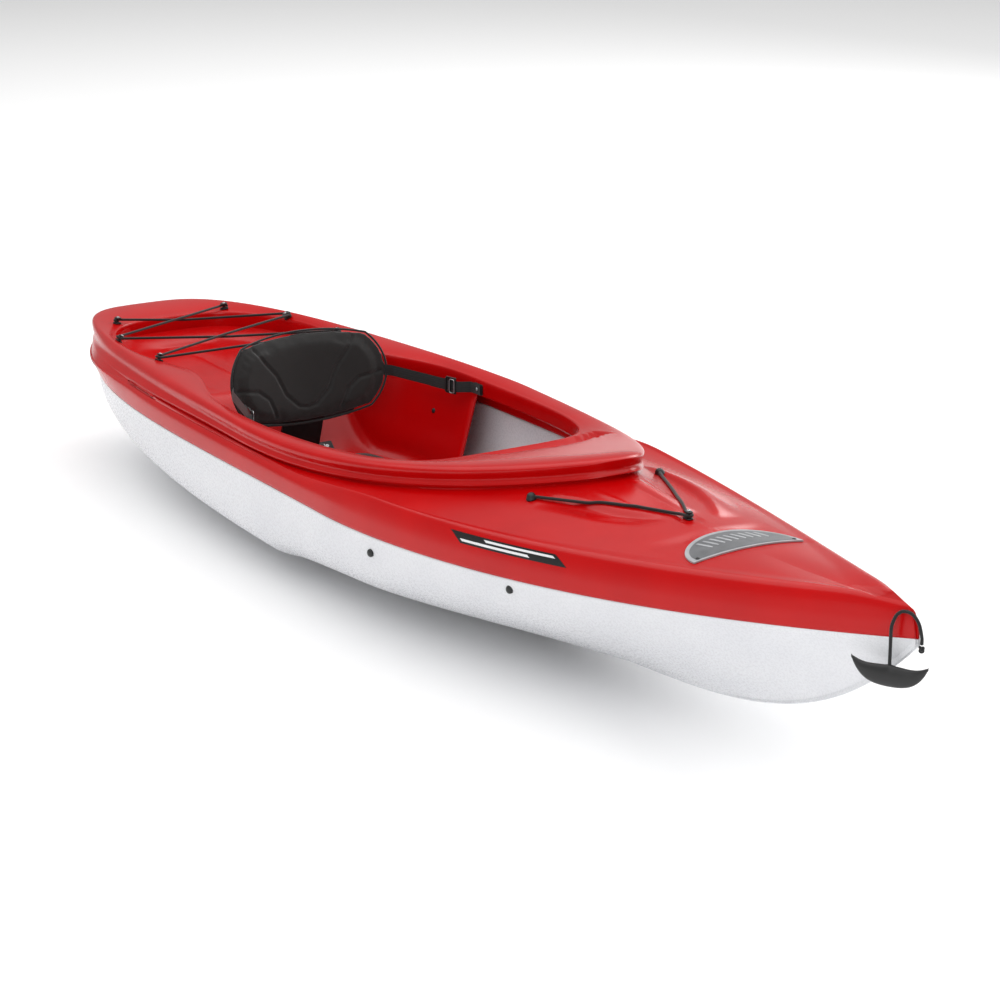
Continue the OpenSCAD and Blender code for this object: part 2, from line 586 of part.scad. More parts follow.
module buckle(side) {
    slot_h = strap_w + 1;
    color(black) mirror([0, side > 0 ? 0 : 1, 0]) translate([buckle_at[0], buckle_at[1], strap_z])
        rotate([0, 0, buckle_turn])
        difference() {
            translate([0, 0, -buckle_h / 2]) translate([-buckle_l / 2, -5, 0])
                cube([buckle_l, 10, buckle_h]);
            translate([-buckle_l, -webbing_t / 2 - 1.2, -slot_h / 2])
                cube([2 * buckle_l, webbing_t + 2.4, slot_h]);
            for (dx = [-8, 8]) translate([dx - 4, -15, -slot_h / 2]) cube([8, 15, slot_h]);
        }
}
module buckle_port() buckle(1);
module buckle_starboard() buckle(-1);
module anchor_places(side) mirror([0, side > 0 ? 0 : 1, 0]) translate([anchor_x, anchor_y - gap, strap_z])
    rotate([90, 0, 0]) children();
module strap_anchors() {
    for (side = [-1, 1]) color(black) anchor_places(side) difference() {
        translate([0, 0, 0]) plate(34, strap_w, anchor_t, 4);
        translate([0, 0, -1]) cylinder(d = screw_d + 2 * run, h = 10, $fn = 32);
    }
}
module strap_anchor_screws() for (side = [-1, 1]) anchor_places(side)
    translate([0, 0, anchor_t + 2 * gap + webbing_t + 0.2]) screw(screw_d, 16);

// ---- footrests ----
// The two bolts lie on the hull's inner skin at these heights
rail_x = 490;
rail_aft_z = 203;
rail_fore_z = 231;
rail_lean = 0.98;
function hull_wall_at(x, z) =
    let (top = seam_z(x) - gap, low = keel_z(x) + wall * (1.5 + 4 * bow_share(x) * bow_share(x)))
    [x, hull_half(x, (top - z) / (top - low)), z];
rail_aft = hull_wall_at(rail_x - rail_l / 2 * rail_lean, rail_aft_z);
rail_fore = hull_wall_at(rail_x + rail_l / 2 * rail_lean, rail_fore_z);
rail_mid = (rail_aft + rail_fore) / 2;
rail_way = unit(rail_fore - rail_aft);
rail_yaw = atan2(rail_way[1], rail_way[0]);
rail_pitch = -asin(rail_way[2]);
rail_stand = 8;
rail_web = 3;
rail_deep = 15;
rail_end = 22;
boss_clear = 3.6;
slot_half = 6;
module rail_frame(side) mirror([0, side > 0 ? 0 : 1, 0]) translate(rail_mid) rotate([0, 0, rail_yaw])
    rotate([0, rail_pitch, 0]) children();
module footrest_rail(side) {
    l = rail_l + 2 * rail_end;
    h = rail_h / 2;
    color(black) rail_frame(side) difference() {
        union() {
            translate([-l / 2, 0, 0]) rotate([90, 0, 90]) linear_extrude(l)
                polygon([[-rail_stand, -h], [-rail_stand, h], [-rail_stand - rail_deep, h],
                    [-rail_stand - rail_deep, slot_half],
                         [-rail_stand - rail_deep + rail_web, slot_half],
                             [-rail_stand - rail_deep + rail_web, h - rail_web],
                         [-rail_stand - rail_web, h - rail_web], [-rail_stand - rail_web, -h + rail_web],
                         [-rail_stand - rail_deep + rail_web, -h + rail_web],
                             [-rail_stand - rail_deep + rail_web, -slot_half],
                         [-rail_stand - rail_deep, -slot_half], [-rail_stand - rail_deep, -h]]);
            for (end = [-1, 1]) translate([end * rail_l / 2, 0, 0]) rotate([90, 0, 0])
                translate([0, 0, boss_clear]) cylinder(d = 2.4 * bolt_d, h = rail_stand - boss_clear + 1,
                    $fn = 48);
        }
        for (end = [-1, 1]) translate([end * rail_l / 2, 0, 0]) rotate([90, 0, 0])
            translate([0, 0, -10]) cylinder(d = bolt_d + 2 * run, h = 40, $fn = 48);
    }
}
module footrest_rail_port() footrest_rail(1);
module footrest_rail_starboard() footrest_rail(-1);
module foot_peg(side) {
    slide_l = 44;
    inner = rail_h - 2 * rail_web - 2 * gap;
    foot_h = 72;
    color(black) rail_frame(side) {
        translate([-slide_l / 2, -rail_stand - rail_deep + rail_web + gap, -inner / 2])
            cube([slide_l, rail_deep - 2 * rail_web - 2 * gap, inner]);
        translate([-slide_l / 2, -rail_stand - rail_deep - 8, -slot_half + gap])
            cube([slide_l, 8 + rail_web + 2 * gap, 2 * (slot_half - gap)]);
        translate([0, -rail_stand - rail_deep - 4 - peg_w / 2, 0]) rotate([0, -90, 0]) translate([0, 0, -5])
            plate(foot_h, peg_w, 10, 12);
        translate([-slide_l / 2, -rail_stand - rail_deep - 34, -slot_half + gap])
            cube([slide_l, 28, 2 * (slot_half - gap)]);
    }
}
module foot_peg_port() foot_peg(1);
module foot_peg_starboard() foot_peg(-1);
module footrest_bolts() {
    nut_h = 5;
    for (side = [-1, 1], end = [-1, 1]) color(steel) rail_frame(side)
        translate([end * rail_l / 2, 0, 0]) rotate([90, 0, 0]) {
            translate([0, 0, -wall - 2]) cylinder(d = bolt_d,
                h = wall + 2 + rail_stand + rail_web + nut_h + 1, $fn = 32);
            translate([0, 0, -wall - 4.5]) cylinder(d = 2.4 * bolt_d, h = 3, $fn = 48);
            translate([0, 0, rail_stand + rail_web + 0.05]) cylinder(d = 1.8 * bolt_d, h = nut_h, $fn = 6);
        }
}

// ---- lacing hooks and shock cord ----
hook_base = 3;
hook_post = 4;
hook_cap = 3;
hook_seat = 0.8;
hook_room = 3.4;
post_h = hook_base + bungee_d + hook_room;
cord_up = hook_seat + (hook_base + post_h) / 2;
module lace_hook() {
    color(black) difference() {
        union() {
            stadium(20, 14, hook_base);
            cylinder(r = hook_post, h = post_h + 1, $fn = 48);
            translate([0, 0, post_h]) stadium(17, 12, hook_cap);
        }
        translate([0, 0, -1]) cylinder(d = screw_d + 2 * run, h = 40, $fn = 32);
    }
}
hook_screw_l = post_h + hook_cap + hook_seat + wall + 6;
rear_s = [-0.8675, -0.672, -0.5];
rear_u = 0.85;
function lip_normal(s, u) =
    let (p = lip_between(s, 0, u), n = cross(lip_between(s + 0.004, 0, u) - p,
        lip_between(s, 0, u + 0.01) - p))
    unit(n[2] < 0 ? -n : n);
function flip_y(p, side) = [p[0], side * p[1], p[2]];
function rear_hook(k, side) = flip_y(lip_between(rear_s[k], 0, rear_u), side);
function rear_normal(k, side) = flip_y(lip_normal(rear_s[k], rear_u), side);
module at_rear_hooks()
    for (side = [-1, 1], k = [0:2])
        on_surface(rear_hook(k, side) + hook_seat * rear_normal(k, side), rear_normal(k, side), side * 70)
            children();
module rear_hooks() at_rear_hooks() lace_hook();
module rear_hook_screws() at_rear_hooks() translate([0, 0, post_h + hook_cap]) screw(screw_d, hook_screw_l);

// Lacing order: hook and side, from one after end to the other
lace = [[0, 1], [1, -1], [2, 1], [2, -1], [1, 1], [0, -1]];
cross_lift = bungee_d / 2 + 2 * gap;
bend_r = hook_post + bungee_d / 2 + gap;
function lace_normal(i) = rear_normal(lace[i][0], lace[i][1]);
function lace_centre(i) = let (h = lace[i]) rear_hook(h[0], h[1]) + cord_up * rear_normal(h[0], h[1]);
// The cord passes round the far side of its hook: points on an arc from heading a to heading b
function arc_points(c, n, a, b, steps) = [for (i = [0:steps]) let (t = lerp(a, b, i / steps))
    c + bend_r * [cos(t), sin(t), -(n[0] * cos(t) + n[1] * sin(t)) / n[2]]];
function heading(p, q) = atan2(q[1] - p[1], q[0] - p[0]);
function wrap(a) = a > 180 ? wrap(a - 360) : a < -180 ? wrap(a + 360) : a;
function lace_bend(i) =
    let (c = lace_centre(i), side = lace[i][1],
         before = heading(lace_centre(i - 1), c), after = heading(c, lace_centre(i + 1)),
         turn = wrap(after - before), way = sign(turn))
    arc_points(c, lace_normal(i), before - way * 90, before - way * 90 + turn, 6);
function mid_point(i, lift) =
    let (p = lace_centre(i), q = lace_centre(i + 1), w = abs(p[1]) / (abs(p[1]) + abs(q[1])))
    lerp(p, q, w) + [0, 0, lift];
rear_route = concat(
    arc_points(lace_centre(0), lace_normal(0), heading(lace_centre(0), lace_centre(1)) - 250,
        heading(lace_centre(0), lace_centre(1)) - 90, 7),
    [mid_point(0, cross_lift)], lace_bend(1), [mid_point(1, -cross_lift)], lace_bend(2), lace_bend(3),
    [mid_point(3, cross_lift)], lace_bend(4), [mid_point(4, -cross_lift)],
    arc_points(lace_centre(5), lace_normal(5), heading(lace_centre(4), lace_centre(5)) - 90,
        heading(lace_centre(4), lace_centre(5)) + 70, 7));
module rear_bungee() color(black) tube(rear_route, bungee_d);

// Front cord: a V from two anchors to one hook
front_hook_x = 871;
anchor_dome = 22;
front_anchor = [569, 147];
function front_place(side) = [front_anchor[0], side * front_anchor[1],
    fore_z(front_anchor[0], front_anchor[1])];
front_hook_at = [front_hook_x, 0, fore_z(front_hook_x, 0)];
front_turn = heading(front_place(1), front_hook_at);
module at_front_anchors()
    for (side = [-1, 1]) on_surface(front_place(side) + hook_seat * flip_y(fore_normal(front_anchor[0],
        front_anchor[1]), side),
        flip_y(fore_normal(front_anchor[0], front_anchor[1]), side), side * front_turn) children();
dome_h = 13;
anchor_up = 6;
anchor_room = 5;
module front_anchors() at_front_anchors() color(black) difference() {
    union() {
        cylinder(d = anchor_dome, h = dome_h - 4, $fn = 64);
        translate([0, 0, dome_h - 4]) cylinder(d1 = anchor_dome, d2 = anchor_dome - 8, h = 4, $fn = 64);
    }
    translate([2, 0, anchor_up]) rotate([0, 90, 0])
        cylinder(d = bungee_d + anchor_room, h = anchor_dome, $fn = 32);
}
front_centre = front_hook_at + [0, 0, cord_up];
function front_start(side) = let (p = front_place(side) + [0, 0, hook_seat + anchor_up])
    p + 4 * unit(front_centre - p);
leg_steps = 12;
// One leg of the V, lying on the crown of the deck where the deck stands higher than a straight line
function leg_point(side, u) =
    let (p = lerp(front_start(side), front_centre, u),
        low = fore_z(p[0], p[1]) + bungee_d / 2 + crown_clear)
    [p[0], p[1], u < 0.05 ? p[2] : max(p[2], low)];
crown_clear = 1;
front_normal = fore_normal(front_hook_x, 0);
front_route = concat(
    [for (i = [0:leg_steps]) leg_point(1, 0.96 * i / leg_steps)],
    arc_points(front_centre, front_normal, 90 - front_turn, -90 + front_turn, 8),
    [for (i = [leg_steps:-1:0]) leg_point(-1, 0.96 * i / leg_steps)]);
module front_bungee() color(black) tube(front_route, bungee_d);
module at_front_hook() on_surface(front_hook_at + hook_seat * fore_normal(front_hook_x, 0),
    fore_normal(front_hook_x, 0)) children();
module front_hook() at_front_hook() lace_hook();
module front_hook_screw() at_front_hook() translate([0, 0, post_h + hook_cap]) screw(screw_d, hook_screw_l);

// ---- half moon nameplate on the foredeck ----
plate_x = 1060;
nameplate_t = 3;
plate_lift = 1.2;
nameplate_screw = [-8, 0.44];
module nameplate() {
    n = 21;
    m = 9;
    function place(i, j, up) =
        let (a = -cos(180 * i / (n - 1)), y = plate_w / 2 * a, deep = 5 + (plate_l - 5) * sqrt(1 - a * a),
             x = plate_x - deep * j / (m - 1))
        [x, y, fore_z(x, y) + plate_lift + (up ? nameplate_t : 0)];
    color([0.45, 0.45, 0.46]) difference() {
        between([for (j = [0:m - 1], i = [0:n - 1]) place(i, j, true)],
                [for (j = [0:m - 1], i = [0:n - 1]) place(i, j, false)], n, m, true);
        at_nameplate_screws() cylinder(d = screw_d + 2 * run, h = 20, center = true, $fn = 32);
    }
}
module at_nameplate_screws() {
    x = plate_x + nameplate_screw[0];
    y = plate_w * nameplate_screw[1];
    for (side = [-1, 1]) on_surface([x, side * y, fore_z(x, y) + plate_lift + nameplate_t + gap],
        flip_y(fore_normal(x, y), side))
        children();
}
module nameplate_screws() at_nameplate_screws() screw(screw_d, 18);

// ---- bow rope and carry toggle ----
rope_route = [[1533, 3, 335], [1533, 3, 345], [1531, 2, 357], [1527, 1, 369], [1520, -1, 379],
    [1511, -4, 385],
              [1502, -7, 386], [1496, -12, 385], [1493, -19, 380], [1493, -25, 372], [1493, -29, 362],
                  [1493, -30, 350],
              [1493, -30, 330], [1493, -30, 310], [1493, -30, 288]];
knot_d = 15;
toggle_tall = 19;
toggle_sag = 6;
// The rope's end sits this deep in the toggle
rope_seat = 6;
toggle_at = rope_route[len(rope_route) - 1] - [0, 0, toggle_tall - toggle_sag + gap - rope_seat];
toggle_turn = 29;
module bow_rope() color(black) tube(rope_route, rope_d, [1, 1, 0.05]);
module rope_knot() color(black) translate(rope_route[0] - [0, 0, knot_d / 2]) sphere(d = knot_d, $fn = 32);
toggle_r = 9;
module bow_toggle() {
    n = 17;
    m = 12;
    function place(i, k) =
        let (a = 2 * i / (n - 1) - 1, x = toggle_l / 2 * a, fat = max(0.16, pow(1 - pow(abs(a), 2.6), 0.5)),
             lift = 22 * pow(abs(a), 2.4) - toggle_sag, t = 360 * k / m)
        [x, toggle_r * fat * cos(t), lift + toggle_tall * fat * sin(t)];
    points = [for (i = [0:n - 1], k = [0:m - 1]) place(i, k)];
    around = [for (i = [0:n - 2], k = [0:m - 1])
        let (q = (k + 1) % m) each cell(i * m + k, i * m + q, (i + 1) * m + q, (i + 1) * m + k, true)];
    color(black) translate(toggle_at) rotate([0, 0, toggle_turn]) difference() {
        polyhedron(points, concat(around, [[for (k = [0:m - 1]) k],
            [for (k = [m - 1:-1:0]) (n - 1) * m + k]]));
        translate([0, 0, toggle_tall - toggle_sag - rope_seat])
            cylinder(d = rope_d + 2 * run, h = 40, $fn = 64);
    }
}

// ---- drain on the port side of the stern ----
drain_s = deck_aft[4];
drain_rise = 0.5;
drain_flange = 44;
function side_point(s, u) = lerp(band_ring(s, 0), shoulder_ring(s, 0), u);
drain_n = let (p = side_point(drain_s, drain_rise),
               n = cross(side_point(drain_s + 0.01, drain_rise) - p,
                   side_point(drain_s, drain_rise + 0.1) - p))
    unit(n[1] < 0 ? -n : n);
drain_at = side_point(drain_s, drain_rise) + hook_seat * drain_n;
drain_hole = plug_d - 2 + 2 * gap;
module drain_seat() on_surface(drain_at, drain_n) color(black) difference() {
    union() {
        cylinder(d = drain_flange, h = 3, $fn = 64);
        translate([0, 0, -wall - 6]) cylinder(d = plug_d - 2, h = wall + 7, $fn = 64);
    }
    translate([0, 0, -wall - 4]) cylinder(d = plug_d - 10 + 2 * run, h = 30, $fn = 64);
}
module drain_plug() on_surface(drain_at, drain_n) color(black) {
    translate([0, 0, 3 + gap]) difference() {
        cylinder(d = plug_d, h = 6, $fn = 64);
        for (side = [-1, 1]) translate([side * (plug_d / 2 + 1), 0, 3])
            cube([plug_d - 6, plug_d, 8], center = true);
    }
    translate([0, 0, -wall]) cylinder(d = plug_d - 10, h = wall + 5, $fn = 64);
}

hull();
deck();
bow_foam();
stern_foam();
seat_cushion();
backrest_pad();
backrest_plate();
backrest_bracket_port();
backrest_bracket_starboard();
backrest_bracket_screws();
backrest_hinge_pin();
strap_port();
strap_starboard();
buckle_port();
buckle_starboard();
strap_anchors();
strap_anchor_screws();
footrest_rail_port();
footrest_rail_starboard();
foot_peg_port();
foot_peg_starboard();
footrest_bolts();
rear_hooks();
rear_hook_screws();
rear_bungee();
front_anchors();
front_bungee();
front_hook();
front_hook_screw();
nameplate();
nameplate_screws();
bow_rope();
rope_knot();
bow_toggle();
drain_seat();
drain_plug();
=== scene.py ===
# %% [markdown]
# # A ten foot sit-in kayak, worked out with numpy
# A recreational kayak is two heat formed plastic shells, a red deck and a white hull, clamped
# together at a seam. Everything else is bolted or laced to them. The frame comes from the packed
# model, and each piece below rides on its bodies.

# %% Load the frame
import math

import bmesh
import bpy
import numpy as np
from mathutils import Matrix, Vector


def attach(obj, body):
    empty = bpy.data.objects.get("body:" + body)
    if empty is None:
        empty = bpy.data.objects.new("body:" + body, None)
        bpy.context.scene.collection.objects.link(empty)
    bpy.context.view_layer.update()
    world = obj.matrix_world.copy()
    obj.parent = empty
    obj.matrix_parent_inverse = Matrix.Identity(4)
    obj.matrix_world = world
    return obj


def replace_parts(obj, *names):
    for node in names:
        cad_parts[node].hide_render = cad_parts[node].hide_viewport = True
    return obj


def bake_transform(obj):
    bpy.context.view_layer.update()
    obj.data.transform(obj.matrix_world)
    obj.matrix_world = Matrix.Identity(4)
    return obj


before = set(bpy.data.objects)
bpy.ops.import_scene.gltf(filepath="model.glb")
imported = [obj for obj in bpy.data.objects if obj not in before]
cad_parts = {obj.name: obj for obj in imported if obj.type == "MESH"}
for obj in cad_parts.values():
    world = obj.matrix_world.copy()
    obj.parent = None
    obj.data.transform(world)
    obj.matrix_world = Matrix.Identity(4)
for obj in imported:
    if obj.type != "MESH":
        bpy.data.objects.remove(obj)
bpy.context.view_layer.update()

# %% [markdown]
# ## Camera
# The boat is seen from ahead and to starboard, from a little above, with a long lens. The camera
# looks at a point near the front of the cockpit's opening. Two angles and a distance place it.

# %% Camera
TARGET = np.array([0.2151, 0.0, 0.2333])
DISTANCE = 5.792
ROUND = math.radians(31.6)
ABOVE = math.radians(17.43)
LENS_MM, SENSOR_MM = 102.78, 36
towards = np.array([math.cos(ABOVE) * math.cos(ROUND), -math.cos(ABOVE) * math.sin(ROUND), math.sin(ABOVE)])
camera_data = bpy.data.cameras.new("camera")
camera_data.lens, camera_data.sensor_width = LENS_MM, SENSOR_MM
camera = bpy.data.objects.new("camera", camera_data)
bpy.context.scene.collection.objects.link(camera)
camera.location = TARGET + DISTANCE * towards
camera.rotation_euler = Vector(towards).to_track_quat("Z", "Y").to_euler()
bpy.context.scene.camera = camera

# %% [markdown]
# ## Small helpers
# A surface is a grid of points worked out as one array. The faces of a grid follow from its size
# alone, so a few functions make them for every piece: an open grid, two grids joined round their
# edge, and a grid that closes round into a tube.

# %% Helpers for meshes
MM = 0.001
MERGE, CLOSED_UP = 2e-5, 1e-6


def smooth(u):
    """Zero below 0, one above 1, and an S curve between: three u squared less two u cubed."""
    c = np.clip(u, 0, 1)
    return c * c * (3 - 2 * c)


def bell(u):
    """One at 0 and zero from 1 outwards on both sides."""
    return 1 - smooth(abs(u))


def lerp(a, b, u):
    """The point a share u of the way from a to b."""
    return a + (b - a) * u


def cubic(a, b, slope_a, slope_b, t):
    """A cubic that goes from a to b as t goes from 0 to 1, with a given slope at each end."""
    return ((2 * t**3 - 3 * t**2 + 1) * a + (t**3 - 2 * t**2 + t) * slope_a
            + (3 * t**2 - 2 * t**3) * b + (t**3 - t**2) * slope_b)


def grid_quads(rows, columns, close_columns=False, start=0):
    """Quads of a grid whose point (j, i) has the number j times columns plus i."""
    last = columns if close_columns else columns - 1
    j, i = np.meshgrid(np.arange(rows - 1), np.arange(last), indexing="ij")
    k = (i + 1) % columns
    quads = np.stack([j * columns + i, j * columns + k, (j + 1) * columns + k, (j + 1) * columns + i], -1)
    return quads.reshape(-1, 4) + start


def skin_faces(rows, columns, start=0):
    """Faces of two grids of one size, the second turned over, joined by a wall round their edge."""
    index = np.arange(rows * columns).reshape(rows, columns)
    edge = np.concatenate([index[0], index[1:, -1], index[-1, -2::-1], index[-2:0:-1, 0]])
    following, under = np.roll(edge, -1), rows * columns
    quads = grid_quads(rows, columns)
    wall = np.stack([edge, following, following + under, edge + under], -1)
    return np.concatenate([quads, quads[:, ::-1] + under, wall[:, ::-1]]) + start


def tube_faces(rows, columns, start=0):
    """Faces of a grid that closes round in its second direction, with a cap on both ends."""
    first = list(range(start, start + columns))
    last = [k + (rows - 1) * columns for k in first]
    return grid_quads(rows, columns, True, start).tolist() + [first[::-1], last]


def new_object(name, points, faces):
    """A mesh object at the origin, from points in metres."""
    mesh = bpy.data.meshes.new(name)
    mesh.from_pydata(np.asarray(points, float).tolist(), [], [list(f) for f in faces])
    piece = bpy.data.objects.new(name, mesh)
    bpy.context.scene.collection.objects.link(piece)
    return piece


def turn_outwards(piece, merge=None):
    """Turns all faces outwards. Given a distance, it first merges the points that lie within it
    and drops the faces that have closed up."""
    work = bmesh.new()
    work.from_mesh(piece.data)
    if merge:
        bmesh.ops.remove_doubles(work, verts=work.verts, dist=merge)
        bmesh.ops.dissolve_degenerate(work, edges=work.edges, dist=CLOSED_UP)
    bmesh.ops.recalc_face_normals(work, faces=work.faces)
    work.to_mesh(piece.data)
    work.free()


def dress(piece, body, material, sharp=None):
    """Smooth shading, sharp past an angle in degrees, with a finish and a body to ride."""
    piece.data.shade_smooth()
    if sharp is not None:
        piece.data.set_sharp_from_angle(angle=math.radians(sharp))
    piece.data.materials.append(material)
    if body:
        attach(piece, body)
    return piece


def make_piece(name, points, faces, body, material, sharp=None):
    """A dressed mesh object from points in metres, with its doubled points merged."""
    piece = new_object(name, points, faces)
    piece.data.validate()
    turn_outwards(piece, MERGE)
    return dress(piece, body, material, sharp)


def modifier(piece, kind, **settings):
    """Adds a modifier with its settings."""
    made = piece.modifiers.new(kind.lower(), kind)
    for key, value in settings.items():
        setattr(made, key, value)
    return made


# %% [markdown]
# ## Materials
# Every finish is named for what the real one is. One function adds a node with its settings and
# its links, one turns an sRGB hex colour to the linear values that a shader wants, and the rest
# are the few patterns that every finish is made of.

# %% Helpers for materials
def colour(code):
    """sRGB hex to linear RGB and alpha: below 0.04045 divide by 12.92, above it a power of 2.4."""
    c = np.array([int(code[i : i + 2], 16) for i in (0, 2, 4)]) / 255
    c = np.where(c <= 0.04045, c / 12.92, ((c + 0.055) / 1.055) ** 2.4)
    return (*c.tolist(), 1.0)


def add(tree, kind, links=None, sockets=None, **settings):
    """A shader node with its settings, the values of its sockets, and the outputs linked to it."""
    node = tree.nodes.new("ShaderNode" + kind)
    for key, value in settings.items():
        setattr(node, key, value)
    for key, value in (sockets or {}).items():
        node.inputs[key].default_value = value
    for key, value in (links or {}).items():
        tree.links.new(value, node.inputs[key])
    return node


def finish(name, **sockets):
    """A new material, its tree and its principled shader, with constants set on the shader itself."""
    made = bpy.data.materials.new(name)
    made.use_nodes = True
    tree = made.node_tree
    tree.nodes.clear()
    constants = {key.replace("_", " "): value for key, value in sockets.items()}
    shader = add(tree, "BsdfPrincipled", sockets=constants)
    add(tree, "OutputMaterial", links={"Surface": shader.outputs["BSDF"]})
    return made, tree, shader


def base_ramp(tree, shader, factor, low, high, start=0.0, end=1.0):
    """Base colour from one hex code to another, as a pattern goes from start to end."""
    made = add(tree, "ValToRGB", links={"Fac": factor})
    for element, place, code in zip(made.color_ramp.elements, (start, end), (low, high)):
        element.position, element.color = place, colour(code)
    tree.links.new(made.outputs["Color"], shader.inputs["Base Color"])


def bump(tree, shader, height, distance, strength=1.0):
    """Raises the surface by height times distance, in metres."""
    made = add(tree, "Bump", links={"Height": height}, sockets={"Strength": strength, "Distance": distance})
    tree.links.new(made.outputs["Normal"], shader.inputs["Normal"])


def roughness(tree, shader, value, low, high):
    """Roughness that goes from low to high as a pattern goes from 0 to 1."""
    made = add(tree, "MapRange", links={"Value": value}, sockets={"To Min": low, "To Max": high})
    tree.links.new(made.outputs["Result"], shader.inputs["Roughness"])


def noise(tree, where, scale, detail):
    """A cloudy pattern, with about scale clouds to the metre."""
    made = add(tree, "TexNoise", links={"Vector": where}, sockets={"Scale": scale, "Detail": detail})
    return made.outputs["Fac"]


WAVE = 0.314


def wave(tree, where, spacing, direction="X", distortion=0.0):
    """Bands that repeat each spacing metres: at scale 1 a wave texture repeats each 0.314."""
    made = add(tree, "TexWave", links={"Vector": where}, bands_direction=direction,
               sockets={"Scale": WAVE / spacing, "Distortion": distortion})
    return made.outputs["Fac"]


def times(tree, a, b):
    return add(tree, "Math", links={0: a, 1: b}, operation="MULTIPLY").outputs[0]


# %% [markdown]
# ### Polyethylene sheet
# The shells are thermoformed from coextruded polyethylene sheet with a gloss cap. The sheet is
# never quite flat: its cap has a long soft orange peel, 15 to 40 mm from crest to crest, and a
# little dust and scuffing that shows only in the roughness.

# %% Polyethylene
def polyethylene(name, base, light, rough):
    made, tree, shader = finish(name, IOR=1.51, Specular_IOR_Level=0.32)
    where = add(tree, "TexCoord").outputs["Object"]
    cloud = noise(tree, where, 9.0, 4.0)
    peel = noise(tree, where, 42.0, 2.0)
    scuff = noise(tree, where, 260.0, 6.0)
    base_ramp(tree, shader, cloud, base, light, 0.3, 0.75)
    roughness(tree, shader, scuff, rough - 0.02, rough + 0.03)
    bump(tree, shader, peel, 0.0003, 0.1)
    return made


red_sheet = polyethylene("red_polyethylene_sheet", "B80003", "C20204", 0.24)
white_sheet = polyethylene("white_polyethylene_sheet", "DFE0E4", "E6E7EA", 0.27)

# %% [markdown]
# ### Moulded nylon, steel and foam
# Hooks, buckles, rails, pegs and the toggle are injection moulded from black glass filled nylon
# with a fine spark eroded grain. The screws and bolts are stainless steel, turned and then
# tumbled. The flotation is closed cell foam with bubbles about 2 mm across.

# %% Nylon, steel and foam
def moulded_nylon(name, base, light, rough):
    made, tree, shader = finish(name, IOR=1.53)
    where = add(tree, "TexCoord").outputs["Object"]
    grain = noise(tree, where, 900.0, 3.0)
    cloud = noise(tree, where, 30.0, 4.0)
    base_ramp(tree, shader, cloud, base, light, 0.35, 0.7)
    roughness(tree, shader, grain, rough - 0.08, rough + 0.1)
    bump(tree, shader, grain, 0.00012, 0.6)
    return made


def stainless(name):
    made, tree, shader = finish(name, Metallic=1.0, Base_Color=colour("B9BABC"))
    where = add(tree, "TexCoord").outputs["Object"]
    marks = noise(tree, where, 700.0, 5.0)
    roughness(tree, shader, marks, 0.22, 0.42)
    bump(tree, shader, marks, 0.00005, 0.4)
    return made


def cell_foam(name):
    made, tree, shader = finish(name, IOR=1.4)
    where = add(tree, "TexCoord").outputs["Object"]
    cells = add(tree, "TexVoronoi", links={"Vector": where}, sockets={"Scale": 450.0}).outputs["Distance"]
    base_ramp(tree, shader, cells, "D8D8D4", "F0F0EE")
    roughness(tree, shader, cells, 0.7, 0.9)
    bump(tree, shader, cells, 0.0004, 0.8)
    return made


black_nylon = moulded_nylon("black_moulded_nylon", "111112", "1A1A1B", 0.42)
grey_nylon = moulded_nylon("grey_moulded_nylon", "56575A", "66676A", 0.4)
pale_nylon = moulded_nylon("pale_grey_moulded_nylon", "9C9DA0", "ABACAF", 0.35)
black_vinyl = moulded_nylon("black_vinyl_film", "0C0C0D", "121214", 0.3)
white_vinyl = moulded_nylon("white_vinyl_film", "E6E6E8", "F0F0F2", 0.3)
steel = stainless("stainless_steel")
foam = cell_foam("closed_cell_foam")

# %% [markdown]
# ### Woven goods
# The seat pads wear a woven polyester, the straps are ribbed polypropylene webbing, and both
# cords have a braided sheath. Threads of 0.4 mm are too fine to show, so the weave is drawn at
# 1.6 mm. Cloth that may bend takes its pattern from object space; webbing and cords use a UV map
# that runs along them in metres.

# %% Woven goods
def woven(name, base, light, spacing, depth):
    made, tree, shader = finish(name, Sheen_Weight=0.25, Sheen_Roughness=0.5, IOR=1.45)
    where = add(tree, "TexCoord").outputs["Object"]
    weave = times(tree, wave(tree, where, spacing, "Y", 0.3), wave(tree, where, spacing, "Z", 0.3))
    cloud = noise(tree, where, 22.0, 5.0)
    both = times(tree, weave, cloud)
    base_ramp(tree, shader, both, base, light, 0.0, 0.6)
    roughness(tree, shader, cloud, 0.62, 0.82)
    bump(tree, shader, weave, depth, 0.7)
    return made


def braided(name, base, light, spacing, depth):
    """Two sets of slanted threads that cross: waves along both diagonals of the UV map."""
    made, tree, shader = finish(name, Sheen_Weight=0.2, IOR=1.45)
    uv = add(tree, "UVMap").outputs["UV"]
    sets = []
    for lean in (45, -45):
        turned = add(tree, "Mapping", links={"Vector": uv}, sockets={"Rotation": (0, 0, math.radians(lean))})
        sets.append(wave(tree, turned.outputs["Vector"], spacing))
    braid = times(tree, *sets)
    base_ramp(tree, shader, braid, base, light, 0.1, 0.9)
    roughness(tree, shader, braid, 0.75, 0.55)
    bump(tree, shader, braid, depth, 0.8)
    return made


def webbing_cloth(name, base, light, rib):
    """Ribs across the webbing, one each rib metres along the UV map."""
    made, tree, shader = finish(name, Sheen_Weight=0.2, IOR=1.45)
    uv = add(tree, "UVMap").outputs["UV"]
    both = times(tree, wave(tree, uv, rib, "Y", 0.2), wave(tree, uv, 2 * rib))
    base_ramp(tree, shader, both, base, light)
    roughness(tree, shader, both, 0.7, 0.5)
    bump(tree, shader, both, 0.0003, 0.7)
    return made


